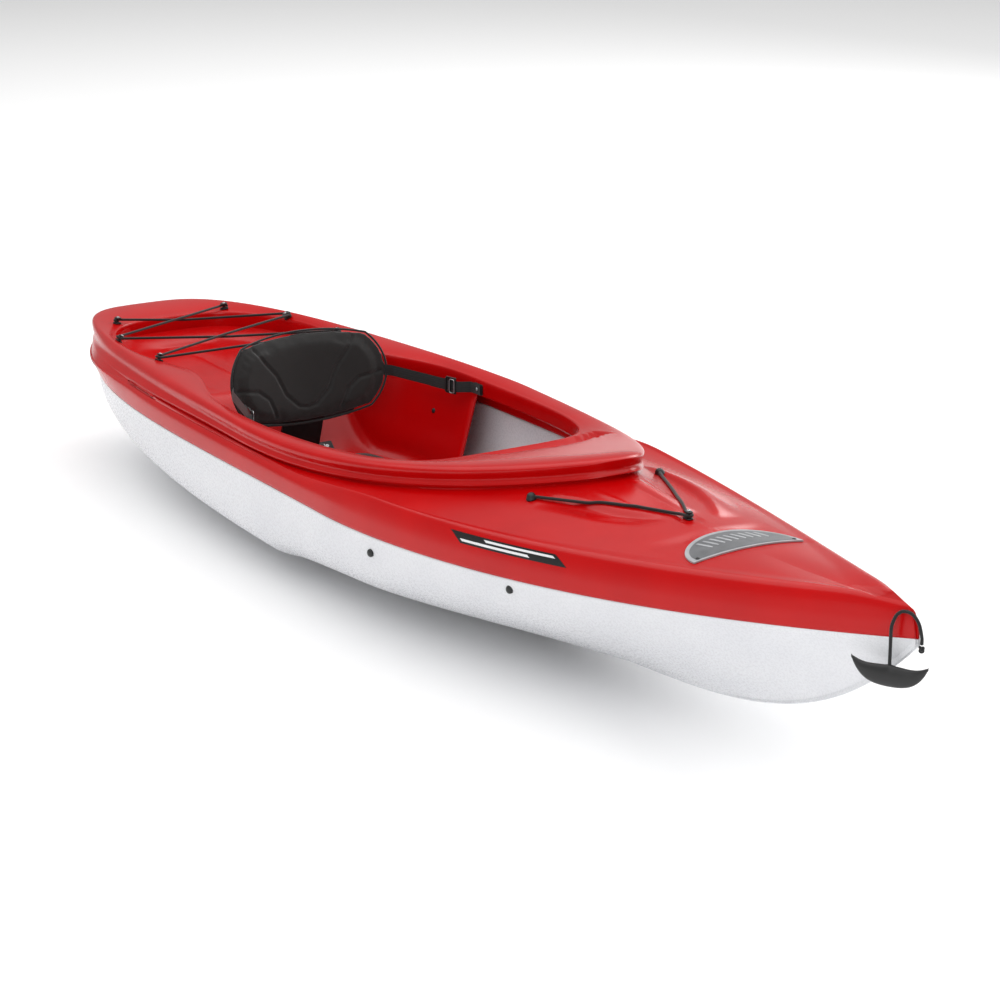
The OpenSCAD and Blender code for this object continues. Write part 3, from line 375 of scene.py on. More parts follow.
seat_cloth = woven("black_woven_polyester", "0E0C0B", "1B1816", 0.0016, 0.0003)
webbing = webbing_cloth("black_webbing", "0F0F10", "1E1E20", 0.0022)
cord_braid = braided("black_shock_cord_braid", "0D0909", "221A1A", 0.0024, 0.0003)
rope_braid = braided("black_rope_braid", "0C0C0D", "222226", 0.003, 0.0004)

# %% [markdown]
# ## The shape of the shells
# Each shell is a stack of rings. A ring is a plan outline that closes at its own bow and stern
# ends, with a height along it. A station s runs from -1 at the stern to 1 at the bow. Between
# the two knuckles all rings share the same x, and past them each ring closes round its own end.
# A plan shape is four powers, two for the part ahead of its widest place and two for the rest.

# %% Rings of the shells, in millimetres
BOW, STERN, HALF_BEAM = 1527.0, 1520.0, 358.0
SEAM_H, BOW_RISE, STERN_FALL, SEAM_LOW = 237.0, 107.0, 29.0, 167.0
KNUCKLE_FORE, KNUCKLE_AFT = 100.0, -900.0
COAMING_W, COAMING_X, COAMING_H, COAMING_RISE, LIP_H = 339.0, 684.0, 89.0, 120.0, 45.0
OPENING_W, OPENING_X, WELL_END, FLANGE_H, TUB_X = 292.0, 235.0, -1345.0, 36.0, -360.0
TUB_Z, WELL_Z, TUB_INSET, FLOOR_DISH, DISH_AT = 88.0, 236.0, 58.0, 6.0, 0.35
BAND_H, SHOULDER_H, SHOULDER_IN, FOREDECK_DIP = 34.0, 72.0, 15.0, 32.0
S_FORE, S_AFT = 0.2, -0.5
SEAM_WIDEST, SEAM_SHAPE = 129, (1.615, 1.031, 4.223, 0.667)
COAMING_WIDEST, COAMING_SHAPE, COAMING_LOW = -256, (1.971, 0.782, 1.22, 0.281), -193
OPENING_WIDEST, OPENING_SHAPE = -350, (2, 0.183, 2, 0.27)


def outline(x, w, xm, fore, aft, pf, qf, pa, qa):
    """Half width: w times (1 - t^p)^q, where t goes from 0 at xm to 1 at the fore or aft end."""
    ahead = w * (1 - np.clip((x - xm) / (fore - xm), 0, 1) ** pf) ** qf
    behind = w * (1 - np.clip((xm - x) / (xm - aft), 0, 1) ** pa) ** qa
    return np.where(x > xm, ahead, behind)


def ring_x(s, fore, aft):
    """Straight between the knuckles, then a sine of the station up to the ring's own end."""
    turn_fore = np.sin(np.pi / 2 * np.clip((s - S_FORE) / (1 - S_FORE), 0, 1))
    turn_aft = np.sin(np.pi / 2 * np.clip((S_AFT - s) / (1 + S_AFT), 0, 1))
    between = lerp(KNUCKLE_AFT, KNUCKLE_FORE, (s - S_AFT) / (S_FORE - S_AFT))
    behind = np.where(s < S_AFT, lerp(KNUCKLE_AFT, aft, turn_aft), between)
    return np.where(s > S_FORE, lerp(KNUCKLE_FORE, fore, turn_fore), behind)


def ring(x, y, z):
    return np.stack(np.broadcast_arrays(x, y, z), -1)


def seam_z(x):
    """Lowest just ahead of amidships, rising as a square to the bow and falling as one aft."""
    ahead = BOW_RISE * ((x - SEAM_LOW) / (BOW - SEAM_LOW)) ** 2
    behind = -STERN_FALL * ((SEAM_LOW - x) / (SEAM_LOW + STERN)) ** 2
    return SEAM_H + np.where(x > SEAM_LOW, ahead, behind)


def seam_ring(s, grow=0.0):
    fore, aft = BOW + 2.6 * grow, -STERN - grow
    x = ring_x(s, fore, aft)
    return ring(x, outline(x, HALF_BEAM + grow, SEAM_WIDEST, fore, aft, *SEAM_SHAPE), seam_z(x))


def coaming_ring(s, grow=0.0):
    fore, aft = COAMING_X + grow, -STERN + 11 - grow
    x = ring_x(s, fore, aft)
    ahead = COAMING_RISE * ((x - COAMING_LOW) / (COAMING_X - COAMING_LOW)) ** 2
    behind = -32 * ((COAMING_LOW - x) / (STERN - 11 + COAMING_LOW)) ** 2
    half = outline(x, COAMING_W + grow, COAMING_WIDEST, fore, aft, *COAMING_SHAPE)
    return ring(x, half, SEAM_H + COAMING_H + np.where(x > COAMING_LOW, ahead, behind))


def waist(x):
    """The opening narrows behind the backrest, along a bell curve."""
    return 70 * np.exp(-(((x + 770) / 190) ** 2))


def opening_z(x):
    """The edge of the opening: up towards the bow, and down towards the stern."""
    ahead = 30 * np.clip((x + 350) / 585, 0, 1) ** 1.5
    return SEAM_H + COAMING_H - 10 + ahead - 26 * np.clip((-350 - x) / 1000, 0, 1) ** 1.5


def opening_ring(s, grow=0.0):
    fore, aft = OPENING_X + grow, WELL_END - grow
    x = ring_x(s, fore, aft)
    half = outline(x, OPENING_W + grow, OPENING_WIDEST, fore, aft, *OPENING_SHAPE)
    return ring(x, half * (1 - waist(x) / OPENING_W), opening_z(x))


def floor_z(x):
    """Tank well aft, a ramp down, then the seat tub, which falls a little further forward."""
    return lerp(WELL_Z, TUB_Z, smooth((x + 830) / 190)) - 10 * smooth((x + 560) / 160)


def band_ring(s):
    """The top of the band over the seam. It stands out at the stern."""
    p = seam_ring(s, -3 + 20 * smooth((-850 - ring_x(s, BOW, -STERN)) / 350))
    p[..., 2] += BAND_H
    return p


def wall_ring(s, h, step):
    """A ring on the coaming's wall, h below its lip. Aft the wall melts into the side."""
    c, b = coaming_ring(s, step), band_ring(s)
    u = h / (COAMING_H - BAND_H + 10)
    g = smooth((c[..., 0] + 850) / 750)[..., None]
    p = lerp(lerp(c, b, u), c, g)
    p[..., 2] = c[..., 2] - h
    return p


def shoulder_ring(s):
    """Stands over the seam: low amidships, high along the foredeck, and drawn in a little."""
    p = seam_ring(s, -SHOULDER_IN * smooth((s + 0.9) / 0.5))
    rise = lerp(46, SHOULDER_H, smooth((p[..., 0] + 60) / 360)) - 16 * smooth((p[..., 0] - 1380) / 140)
    p[..., 2] += rise
    return p


def deck_between(s, u):
    """From the shoulder up to the coaming's wall, crowned at the sides and dipped in the middle."""
    a, b = shoulder_ring(s), wall_ring(s, LIP_H, -4)
    p = lerp(a, b, u)
    dip = FOREDECK_DIP * np.sin(np.pi * np.clip(u, 0, 1)) ** 0.6 * smooth((s - 0.5) / 0.5)
    p[..., 2] = a[..., 2] + (b[..., 2] - a[..., 2]) * (1 - (1 - u) ** 1.6) - dip
    return p


def lip_between(s, u):
    """Over the coaming's lip, with a crown of 4 mm."""
    p = lerp(coaming_ring(s), opening_ring(s), u)
    p[..., 2] += 4 * np.sin(np.pi * u)
    return p


def tub_ring(s, u):
    """Down the wall of the tub and the well, from the flange to the floor."""
    p = opening_ring(s, -TUB_INSET * u)
    p[..., 2] = lerp(opening_z(p[..., 0]) - FLANGE_H, floor_z(p[..., 0]), u)
    return p


def tub_floor(s, u):
    """Across the floor to the middle, with a shallow dish."""
    aft = WELL_END + TUB_INSET + 30 * u
    x = ring_x(s, OPENING_X, aft)
    half = outline(x, OPENING_W - TUB_INSET, OPENING_WIDEST, OPENING_X, aft, *OPENING_SHAPE)
    half *= 1 - waist(x) / OPENING_W
    return ring(x, (1 - u) * half, floor_z(x) - FLOOR_DISH * min(1, u / DISH_AT))


print("beam at the seam", 2 * float(seam_ring(np.array([0.22]))[0, 1]), "mm")

# %% [markdown]
# ## The deck
# The deck is one heat formed sheet. It goes up from the seam over a shoulder, across the
# foredeck to the wall of the cockpit's coaming, over the coaming's rounded lip, and down into the
# seat tub and the tank well. The rings are the same ones that shape the solid model, and a
# smooth cubic joins them, so that light runs over the sheet without facets. The ring index is
# called v, and it goes from 0 at the seam to 24 in the middle of the floor. Towards the stern the
# rings of the side spread out evenly, because the wall of the coaming melts away there.

# %% Rings of the deck
DECK_RINGS = [
    lambda s: seam_ring(s), band_ring, shoulder_ring,
    *[lambda s, u=u: deck_between(s, u) for u in (0.16, 0.42, 0.66, 0.84)],
    lambda s: wall_ring(s, LIP_H, -4), lambda s: wall_ring(s, LIP_H * 0.8, 3),
    lambda s: wall_ring(s, LIP_H * 0.56, -3), lambda s: wall_ring(s, LIP_H * 0.3, 2),
    lambda s: wall_ring(s, 5, 1),
    *[lambda s, u=u: lip_between(s, u) for u in (0.12, 0.4, 0.7, 0.9)],
    lambda s: opening_ring(s), lambda s: opening_ring(s, -2) - [0, 0, FLANGE_H / 3],
    lambda s: opening_ring(s) - [0, 0, FLANGE_H],
    *[lambda s, u=u: tub_ring(s, u) for u in (0.35, 0.75, 1)],
    *[lambda s, u=u: tub_floor(s, u) for u in (DISH_AT, 0.7, 1)],
]
FLANGE_V = 18
CREASES = (FLANGE_V,)
STEPS = [5, 5, 5, 12, 12, 11, 10, 4, 4, 4, 4, 4, 4, 4, 3, 3, 3, 4, 3, 3, 3, 4, 4, 4]


def through_rings(rings, creases, steps):
    """A cubic through the rings. The slope at a ring is half the step from the ring before it to
    the ring after it. At a crease the ring itself stands in for one of them, so that the surface
    bends sharply there."""
    rows, values = [], []
    for j, count in enumerate(steps):
        a, b = rings[j], rings[j + 1]
        before = a if j == 0 or j in creases else rings[j - 1]
        after = b if j + 2 >= len(rings) or j + 1 in creases else rings[j + 2]
        for t in np.arange(count) / count:
            rows.append(cubic(a, b, (b - before) / 2, (after - a) / 2, t))
            values.append(j + t)
    return np.array(rows + [rings[-1]]), np.array(values + [len(rings) - 1.0])


TUB_S = (TUB_X - KNUCKLE_AFT) / (KNUCKLE_FORE - KNUCKLE_AFT) * (S_FORE - S_AFT) + S_AFT
FORE_COLUMNS = 100
stations = np.concatenate([
    np.linspace(-1, S_AFT, 45)[:-1], np.linspace(S_AFT, TUB_S, 31)[:-1],
    np.linspace(TUB_S, S_FORE, 27)[:-1], np.linspace(S_FORE, 1, FORE_COLUMNS)])
tub_station = int(np.argmin(abs(stations - TUB_S)))
ring_points = [r(stations) for r in DECK_RINGS]
BAND_V, LIP_WALL_V = 1, 8
for j in range(BAND_V + 1, LIP_WALL_V):
    aft_share = (1 - smooth((ring_points[j][:, 0] + 1150) / 400))[:, None]
    even = lerp(ring_points[BAND_V], ring_points[LIP_WALL_V], (j - BAND_V) / (LIP_WALL_V - BAND_V))
    ring_points[j] = lerp(ring_points[j], even, aft_share)
deck_grid, deck_v = through_rings(ring_points, CREASES, STEPS)


def round_nose(grid, row, near, axis, share):
    """Ahead of the cockpit a row crosses the centre plane as a parabola, with the slope that it
    has at the distance near, so that the two halves meet without a crease."""
    fore = slice(-FORE_COLUMNS, None)
    y, value = grid[row, fore, 1][::-1], grid[row, fore, axis][::-1]
    here, beyond = np.interp((near, near + 3), y, value)
    parabola = here + (beyond - here) / 3 / (2 * near) * (y**2 - near**2)
    grid[row, fore, axis] = np.where(y < near, lerp(value, parabola, share), value)[::-1]


for row, value in enumerate(deck_v):
    for from_v, fade, near, axis in ((1.2, 1.2, 55, 2), (5.4, 1.4, 70, 0)):
        if from_v < value < FLANGE_V + 0.5:
            round_nose(deck_grid, row, near, axis, float(smooth((value - from_v) / fade)))
print("deck grid", deck_grid.shape[:2], "tub ends at station", tub_station)

# %% [markdown]
# ## What the mould adds to the sheet
# The mould's details are small heights added to the smooth sheet, each a formula of x and y: three
# ribs along the foredeck, a seat for the nameplate, a ring round the hook, a tray on top of the
# coaming, a dish in the nose, and drain grooves in the floor of the well.

# %% Heights of the details, in millimetres
HOOK_X = 871.0
PLATE_X, PLATE_HALF, PLATE_DEEP, PLATE_FOOT = 1060, 120, 93, 5
FORE_ROWS, NOSE_ROWS, TRAY_ROWS, FLOOR_V = (2.3, 6.95), (2.0, 4.5), (12.1, 15.9), 21.3


def step_rib(x, y, line, height, steep, gentle):
    """A rib whose starboard face is steep. Its edge follows the line, and it rises and dies away
    smoothly along its length. It falls gently on the port side."""
    xs, ys = np.array(line).T
    edge = np.interp(x, xs, ys)
    along = np.clip((x - xs[0]) / (xs[-1] - xs[0]), 0, 1)
    swell = np.sin(np.pi * along) ** 0.7
    face, back = smooth((y - edge + steep) / steep), 1 - smooth((y - edge - 6) / gentle)
    return height * swell * face * back


def plate_depth(y):
    """How far the half moon plate reaches aft of its chord at a distance y from the middle."""
    return PLATE_FOOT + PLATE_DEEP * np.sqrt(np.clip(1 - (y / PLATE_HALF) ** 2, 0, 1))


PORT_RIB = [(470, 176), (560, 160), (640, 148), (717, 132), (790, 108), (880, 66)]
MIDDLE_RIB = [(590, -4), (660, 4), (752, 14), (846, 17)]
STARBOARD_RIB = [(590, 124), (660, 104), (752, 82), (850, 40)]


def fore_details(x, y):
    """Three ribs, two fine ridges, a ring round the hook, and a scoop behind the nameplate."""
    ribs = step_rib(x, y, PORT_RIB, 13, 15, 60) + step_rib(x, y, MIDDLE_RIB, 7, 10, 34)
    ribs -= step_rib(x, -y, STARBOARD_RIB, 8, 12, 46)
    ridges = 2.2 * bell((y - np.interp(x, (640, 800), (52, 30))) / 7) * bell((x - 715) / 90)
    ridges += 2.2 * bell((y + np.interp(x, (640, 800), (66, 44))) / 7) * bell((x - 725) / 90)
    hook_ring = -2.2 * smooth((24 - np.hypot(x - HOOK_X, y)) / 4)
    scoop = -4.5 * smooth((x - (940 - 0.0016 * y**2)) / 30) * bell(y / 132) ** 0.5
    scoop *= 1 - smooth((x - (PLATE_X - plate_depth(y) - 6)) / 10)
    return ribs + ridges + hook_ring + scoop


def nose_dish(x, y):
    """A hollow with three sides, 10 mm deep. It opens towards the tip."""
    wide = np.interp(x, (1330, 1420, 1500), (0, 24, 34))
    return -10 * smooth((x - 1345) / 60) * smooth((wide - abs(y)) / 9) * (1 - smooth((x - 1494) / 14))


def tray(x, y):
    """A shallow tray moulded in the top of the coaming, ahead of the opening."""
    front = 338 - 0.0012 * (y - 60) ** 2
    inside = np.minimum.reduce([front - x, x - 247 - 0.0005 * y**2, 200 - y, y + 62])
    return -9 * smooth((inside + 3) / 9)


def grooves(x, y):
    """Three drain grooves and a rim groove in the floor of the tank well."""
    middle = bell(y / 15) * smooth((x + 1195) / 20) * (1 - smooth((x + 960) / 20))
    sides = bell((abs(y) - 104) / 13) * smooth((x + 1100) / 20) * (1 - smooth((x + 880) / 20))
    return -4.5 * np.maximum(middle, sides)


def between_rows(v, low, high, soft=0.3):
    """One for rows inside low..high, falling to zero at both ends."""
    return smooth((v - low) / soft) * smooth((high - v) / soft)


def plate_terms(x, y):
    """A smooth even surface: one, x, y squared, x squared and x times y squared."""
    u, w = (x - 1010) / 100, (y / 100) ** 2
    return np.stack([np.ones_like(u), u, w, u * u, u * w], -1)


sheet = deck_grid[(deck_v > FORE_ROWS[0]) & (deck_v < FORE_ROWS[1])].reshape(-1, 3)
sheet = sheet[(sheet[:, 0] > 940) & (sheet[:, 0] < 1080) & (sheet[:, 1] < 130)]
plate_fit = np.linalg.lstsq(plate_terms(sheet[:, 0], sheet[:, 1]), sheet[:, 2], rcond=None)[0]


def plate_seat_z(x, y):
    """The even surface that the plate sits on, 1.5 mm into the sheet."""
    return plate_terms(x, y) @ plate_fit - 1.5


def plate_share(x, y):
    """One inside the seat of the nameplate, and zero 8 mm outside it."""
    inside = np.minimum.reduce([1068 - x, x - (1054 - plate_depth(y)), 130 - abs(y)])
    return smooth((inside + 6) / 8)


v = deck_v[:, None]
signed = [deck_grid * [1, side, 1] for side in (1, -1)]
for half in signed:
    x, y = half[..., 0], half[..., 1]
    half[..., 2] += fore_details(x, y) * between_rows(v, *FORE_ROWS)
    share = plate_share(x, y) * between_rows(v, *FORE_ROWS)
    half[..., 2] = lerp(half[..., 2], plate_seat_z(x, y), share)
    half[..., 2] += nose_dish(x, y) * between_rows(v, *NOSE_ROWS)
    half[..., 2] += tray(x, y) * between_rows(v, *TRAY_ROWS)
    half[..., 2] += grooves(x, y) * (v > FLOOR_V)
print("deepest detail", round(float((signed[0] - deck_grid)[..., 2].min()), 1), "mm")

# %% [markdown]
# The two halves of the grid meet on the centre plane, where their points are merged. The sheet is
# 5 mm thick, and Solidify adds that inwards. The tub is cut off at its front edge, ahead of
# which the paddler's feet go down into the hull.

# %% Deck and hull meshes
SHEET = 5


def shell(name, halves, quads, node, material, bend):
    """Two halves as one mesh with a wall. Their ends and last rows lie on the centre plane."""
    points = np.stack(halves) * MM
    points[:, :, (0, -1), 1] = 0
    points[:, -1, :, 1] = 0
    faces = np.concatenate([quads, quads[:, ::-1] + halves[0].shape[0] * halves[0].shape[1]])
    piece = make_piece(name, points.reshape(-1, 3), faces, "boat", material)
    up = sum(p.normal.z * p.area for p in piece.data.polygons)
    print(name, "faces", len(piece.data.polygons), "net upward area", round(up, 3))
    modifier(piece, "SOLIDIFY", thickness=SHEET * MM, offset=-1, use_even_offset=False)
    piece.data.set_sharp_from_angle(angle=math.radians(bend))
    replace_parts(piece, node)


quads = grid_quads(*deck_grid.shape[:2])
row_of, station_of = np.divmod(quads[:, 0], deck_grid.shape[1])
kept = (deck_v[row_of] < FLANGE_V - 1e-6) | (station_of < tub_station)
shell("deck_sheet", signed, quads[kept], "deck", red_sheet, 50)

# %% [markdown]
# ## The hull
# The hull is a second sheet, white, under the seam. Its sections go from a full round amidships
# to a fine V at the bow. Each section is a superellipse, and its two exponents change with x.

# %% Hull
FLAT_DROP, KEEL_BOW, RISE_X, KEEL_RISE, STEM_H, GAP = 14.0, 703.0, 150.0, 145.0, 12.0, 0.3


def keel_z(x):
    """Height of the keel line: flat amidships, up to the stem, and up again to the stern."""
    z = -FLAT_DROP + KEEL_RISE * np.clip((x - RISE_X) / (BOW - RISE_X), 0, 1) ** 1.25
    fore_rise = SEAM_H + BOW_RISE - STEM_H + FLAT_DROP - KEEL_RISE
    aft_rise = SEAM_H - STERN_FALL - STEM_H + FLAT_DROP
    fore = fore_rise * np.clip((x - KEEL_BOW) / (BOW - KEEL_BOW), 0, 1) ** 3.67
    aft = aft_rise * np.clip((KEEL_BOW - x) / (KEEL_BOW + STERN), 0, 1) ** 4.67
    return z + np.where(x > KEEL_BOW, fore, aft)


def hull_points(s, u):
    """Half width times (1 - u^n)^(1/m), as u goes from 0 at the seam to 1 at the keel."""
    x = np.where(s > 0, s * BOW, s * STERN)
    bow = np.clip((x + 181) / (BOW + 181), 0, 1) ** 0.5
    stern = np.clip((-303 - x) / (STERN - 303), 0, 1) ** 1.3
    n, m = 4.97 - 4.27 * bow - 3.42 * stern, 1.025 - 0.225 * bow + 1.14 * stern
    y = outline(x, HALF_BEAM - 1, SEAM_WIDEST, BOW, -STERN, *SEAM_SHAPE) * (1 - u**n) ** (1 / m)
    z = np.maximum(0, lerp(seam_z(x) - GAP, keel_z(x), u))
    channel = 6 * np.clip(1 - (y / 42) ** 2, 0, 1)
    channel *= smooth((1000 - abs(x)) / 400) * smooth((abs(x) - 60) / 240)
    return ring(x, y, z + np.where(u > 0, channel, 0))


hull_s = np.sin(np.pi / 2 * np.linspace(-1, 1, 181))
hull_u = np.concatenate([np.linspace(0, 0.9, 37), np.linspace(0.9, 1, 14)[1:]])
hull_grid = hull_points(hull_s[None, :], hull_u[:, None])
shell("hull_sheet", [hull_grid * [1, side, 1] for side in (1, -1)],
      grid_quads(*hull_grid.shape[:2])[:, ::-1], "hull", white_sheet, 60)

# %% [markdown]
# ## The sheet under a fitting
# The fittings stand on the deck's real surface. Its height under a point is a mean of the planes
# of the four nearest grid points, each with a weight of one over its distance squared.

# %% Height and slope of the deck
def grid_normals(grid):
    """Cross product of the grid's two directions, turned upwards."""
    n = np.cross(np.gradient(grid, axis=1), np.gradient(grid, axis=0))
    n /= np.linalg.norm(n, axis=-1, keepdims=True) + 1e-12
    return np.where(n[..., 2:] < 0, -n, n)


top_rows = deck_v < 16
sheet_points = np.concatenate([half[top_rows][:, 1:-1].reshape(-1, 3) for half in signed])
sheet_normals = np.concatenate([grid_normals(half)[top_rows][:, 1:-1].reshape(-1, 3) for half in signed])
usable = sheet_normals[:, 2] > 0.35
sheet_points, sheet_normals = sheet_points[usable], sheet_normals[usable]


def on_deck(x, y):
    """Points on the deck over x and y, and the normals there."""
    x, y = np.broadcast_arrays(np.asarray(x, float), np.asarray(y, float))
    flat = np.stack([x.ravel(), y.ravel()], -1)
    gap = ((flat[:, None, :] - sheet_points[None, :, :2]) ** 2).sum(-1)
    near = np.argpartition(gap, 4, axis=1)[:, :4]
    weight = 1 / (np.take_along_axis(gap, near, 1) + 1e-3)
    weight /= weight.sum(1, keepdims=True)
    p, n = sheet_points[near], sheet_normals[near]
    step = flat[:, None, :] - p[..., :2]
    z = p[..., 2] - (n[..., :2] * step).sum(-1) / n[..., 2]
    normal = (n * weight[..., None]).sum(1)
    normal /= np.linalg.norm(normal, axis=-1, keepdims=True)
    point = np.concatenate([flat, (z * weight).sum(1)[:, None]], 1)
    return point.reshape(*x.shape, 3), normal.reshape(*x.shape, 3)


print("deck under the front hook", on_deck(HOOK_X, 0.0)[0].round(1))

# %% [markdown]
# ## Tubes, stacks and ribbons
# A cord is a circle carried along a smooth path. A moulded or turned fitting is a stack of closed
# outlines, one above the other. Both are grids that close round, with a cap at each end.

# %% Helpers for cords and fittings
def smooth_path(points, steps=8):
    """A cubic through the points, in steps to each stretch, with half the way from the point
    before to the point after as its slope."""
    p = np.asarray(points, float)
    q = np.concatenate([[2 * p[0] - p[1]], p, [2 * p[-1] - p[-2]]])
    t = (np.arange(steps) / steps)[None, :, None]
    a, b = q[1:-2, None], q[2:-1, None]
    before, after = (q[2:-1, None] - q[:-3, None]) / 2, (q[3:, None] - q[1:-2, None]) / 2
    return np.concatenate([cubic(a, b, before, after, t).reshape(-1, 3), p[-1:]])


def round_grid(name, points, body, material, uv=None, sharp=40):
    """A grid that closes round in its second direction, with a cap on both ends."""
    piece = new_object(name, points.reshape(-1, 3) * MM, tube_faces(*points.shape[:2]))
    if uv is not None:
        layer = piece.data.uv_layers.new(name="along")
        corners = np.stack([uv[:-1, :-1], uv[:-1, 1:], uv[1:, 1:], uv[1:, :-1]], 2).reshape(-1, 2)
        flat = np.zeros((len(piece.data.loops), 2))
        flat[: len(corners)] = corners
        layer.data.foreach_set("uv", flat.astype(np.float32).ravel())
    turn_outwards(piece)
    return dress(piece, body, material, sharp)


def swept(path, section, up):
    """A flat section carried along a path. Its first direction is the path's tangent crossed with
    up, and its second is square to both."""
    tangent = np.gradient(path, axis=0)
    tangent /= np.linalg.norm(tangent, axis=1, keepdims=True)
    side = np.cross(tangent, up)
    side /= np.linalg.norm(side, axis=1, keepdims=True)
    other = np.cross(side, tangent)
    return path[:, None] + section[..., :1] * side[:, None] + section[..., 1:] * other[:, None]


def along_uv(path, section):
    """Metres round the section and along the path."""
    girth = np.linalg.norm(np.diff(np.concatenate([section, section[:1]]), axis=0), axis=1)
    u = np.concatenate([[0], np.cumsum(girth)]) * MM
    along = np.concatenate([[0], np.cumsum(np.linalg.norm(np.diff(path, axis=0), axis=1))]) * MM
    return np.stack(np.broadcast_arrays(u[None, :], along[:, None]), -1)


def cord_tube(name, path, diameter, body, material, up=(0, 0, 1), around=14):
    """A circle carried along the path, rounded over at both ends."""
    turn = 2 * np.pi * np.arange(around) / around
    section = diameter / 2 * np.stack([np.cos(turn), np.sin(turn)], -1)
    shrink = np.ones(len(path))
    shrink[[0, -1]] = 0.55
    points = swept(path, section[None] * shrink[:, None, None], np.asarray(up, float))
    return round_grid(name, points, body, material, along_uv(path, section))


def polar(radius, count=48):
    """A closed outline from a radius that is a function of the angle."""
    t = 2 * np.pi * np.arange(count) / count
    r = radius(t) * np.ones(count)
    return np.stack([r * np.cos(t), r * np.sin(t)], -1)


def lozenge(length, width, power=4.0, count=48):
    """(|cos|/a)^p + (|sin|/b)^p to the power -1/p: an oblong with round corners."""
    def radius(t):
        across, along = abs(np.cos(t) / (length / 2)), abs(np.sin(t) / (width / 2))
        return (across**power + along**power) ** (-1 / power)
    return polar(radius, count)


def stack(rows):
    """Outlines at heights: rows of (outline, z)."""
    return np.stack([np.concatenate([o, np.full((len(o), 1), z)], 1) for o, z in rows])


def frame_at(point, normal, turn=0.0):
    """A rotation whose third axis is the normal and whose first axis heads at turn in plan."""
    n = np.asarray(normal, float) / np.linalg.norm(normal)
    ahead = np.array([math.cos(turn), math.sin(turn), 0.0])
    ahead -= n * (ahead @ n)
    ahead /= np.linalg.norm(ahead)
    return np.asarray(point, float), np.stack([ahead, np.cross(n, ahead), n], 0)


def joined(name, solids, body, material, sharp=40):
    """One piece made of several closed grids, in millimetres."""
    points, faces, start = [], [], 0
    for solid in solids:
        rows, columns = solid.shape[:2]
        points.append(solid.reshape(-1, 3) * MM)
        faces += tube_faces(rows, columns, start)
        start += rows * columns
    return make_piece(name, np.concatenate(points), faces, body, material, sharp)


def copies(name, solid, frames, body, material, sharp=40):
    """One piece made of the same stack at several frames."""
    solids = [solid @ axes + origin for origin, axes in frames]
    print(name, len(frames), "copies")
    return joined(name, solids, body, material, sharp)


def turned(radius, profile):
    """A stack of circles, from rows of (share of the radius, z)."""
    return stack([(polar(lambda t, k=k: radius * k), z) for k, z in profile])


CROSS = polar(lambda t: 0.8 + 1.3 * np.cos(2 * t) ** 8)


def pan_screw(head, tall):
    """A domed head with a cross shaped recess."""
    profile = ((0.95, 0), (1, 0.2), (0.97, 0.5), (0.86, 0.8), (0.68, 0.97))
    dome = turned(head / 2, [(k, z * tall) for k, z in profile])
    recess = stack([(CROSS, tall), (CROSS * 0.8, 0.45 * tall), (CROSS * 0.2, 0.4 * tall)])
    return np.concatenate([dome, recess])


# %% [markdown]
# ## Lacing hooks and shock cord
# Six moulded hooks stand round the tank well and one stands on the foredeck. Each has an oblong
# foot, a round post and a flat cap that keeps the cord on. The screw's head sits on the cap.

# %% Hooks
CORD_D, CORD_GAP, HOOK_POST, HOOK_ROOM = 6.0, 0.6, 4.0, 3.4
HOOK_FOOT, HOOK_CAP, HOOK_GAP, FRONT_GAP = 3, 3, 0.8, 0.3
POST_H = HOOK_FOOT + CORD_D + HOOK_ROOM
CORD_UP = HOOK_GAP + (HOOK_FOOT + POST_H) / 2
REAR_STATIONS, ON_LIP = (-0.8675, -0.672, -0.5), 0.85
SCREW_HEAD, SCREW_TALL = 8, 2.4


def lip_point(s, u):
    return lip_between(np.array([s]), u)[0]


def rear_place(k, side):
    """Where a hook stands on the lip beside the well, and the lip's normal."""
    s = REAR_STATIONS[k]
    p = lip_point(s, ON_LIP)
    n = np.cross(lip_point(s + 0.004, ON_LIP) - p, lip_point(s, ON_LIP + 0.01) - p)
    n *= np.sign(n[2]) / np.linalg.norm(n)
    return p * [1, side, 1], n * [1, side, 1]


post, foot, cap_edge = polar(lambda t: HOOK_POST), lozenge(20, 14), lozenge(17, 12)
hook_shape = stack([
    (foot * 0.96, 0), (foot, 0.7), (foot, 2.2), (foot * 0.94, 2.9), (post * 1.35, 3.2), (post * 1.05, 4.2),
    (post, 6), (post, POST_H - 1.4), (post * 1.2, POST_H - 0.4), (cap_edge * 0.93, POST_H), (cap_edge, POST_H + 0.7),
    (cap_edge, POST_H + 2.0), (cap_edge * 0.95, POST_H + 2.7), (cap_edge * 0.82, POST_H + 3.0),
    (post * 1.02, POST_H + 2.9), (post * 0.4, POST_H + 2.5)])
screw_head = pan_screw(SCREW_HEAD, SCREW_TALL)


def hooks(name, screw_name, places, gap, node, screw_node):
    """Hooks and their screw heads at places of (point, normal, turn of the hook, turn of the screw)."""
    feet = [frame_at(p + gap * n, n, turn) for p, n, turn, _ in places]
    heads = [frame_at(p + (gap + POST_H + HOOK_CAP) * n, n, turn) for p, n, _, turn in places]
    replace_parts(copies(name, hook_shape, feet, "boat", black_nylon), node)
    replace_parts(copies(screw_name, screw_head, heads, "boat", steel), screw_node)


rear_places = [(*rear_place(k, side), math.radians(70 * side), math.radians(20 + 31 * k))
               for side in (1, -1) for k in range(3)]
hooks("rear_lacing_hooks", "rear_hook_screw_heads", rear_places, HOOK_GAP, "rear_hooks", "rear_hook_screws")
hook_p, hook_n = on_deck(HOOK_X, 0.0)
hooks("front_lacing_hook", "front_hook_screw_head", [(hook_p, hook_n, 0.0, 0.4)], FRONT_GAP,
      "front_hook", "front_hook_screw")

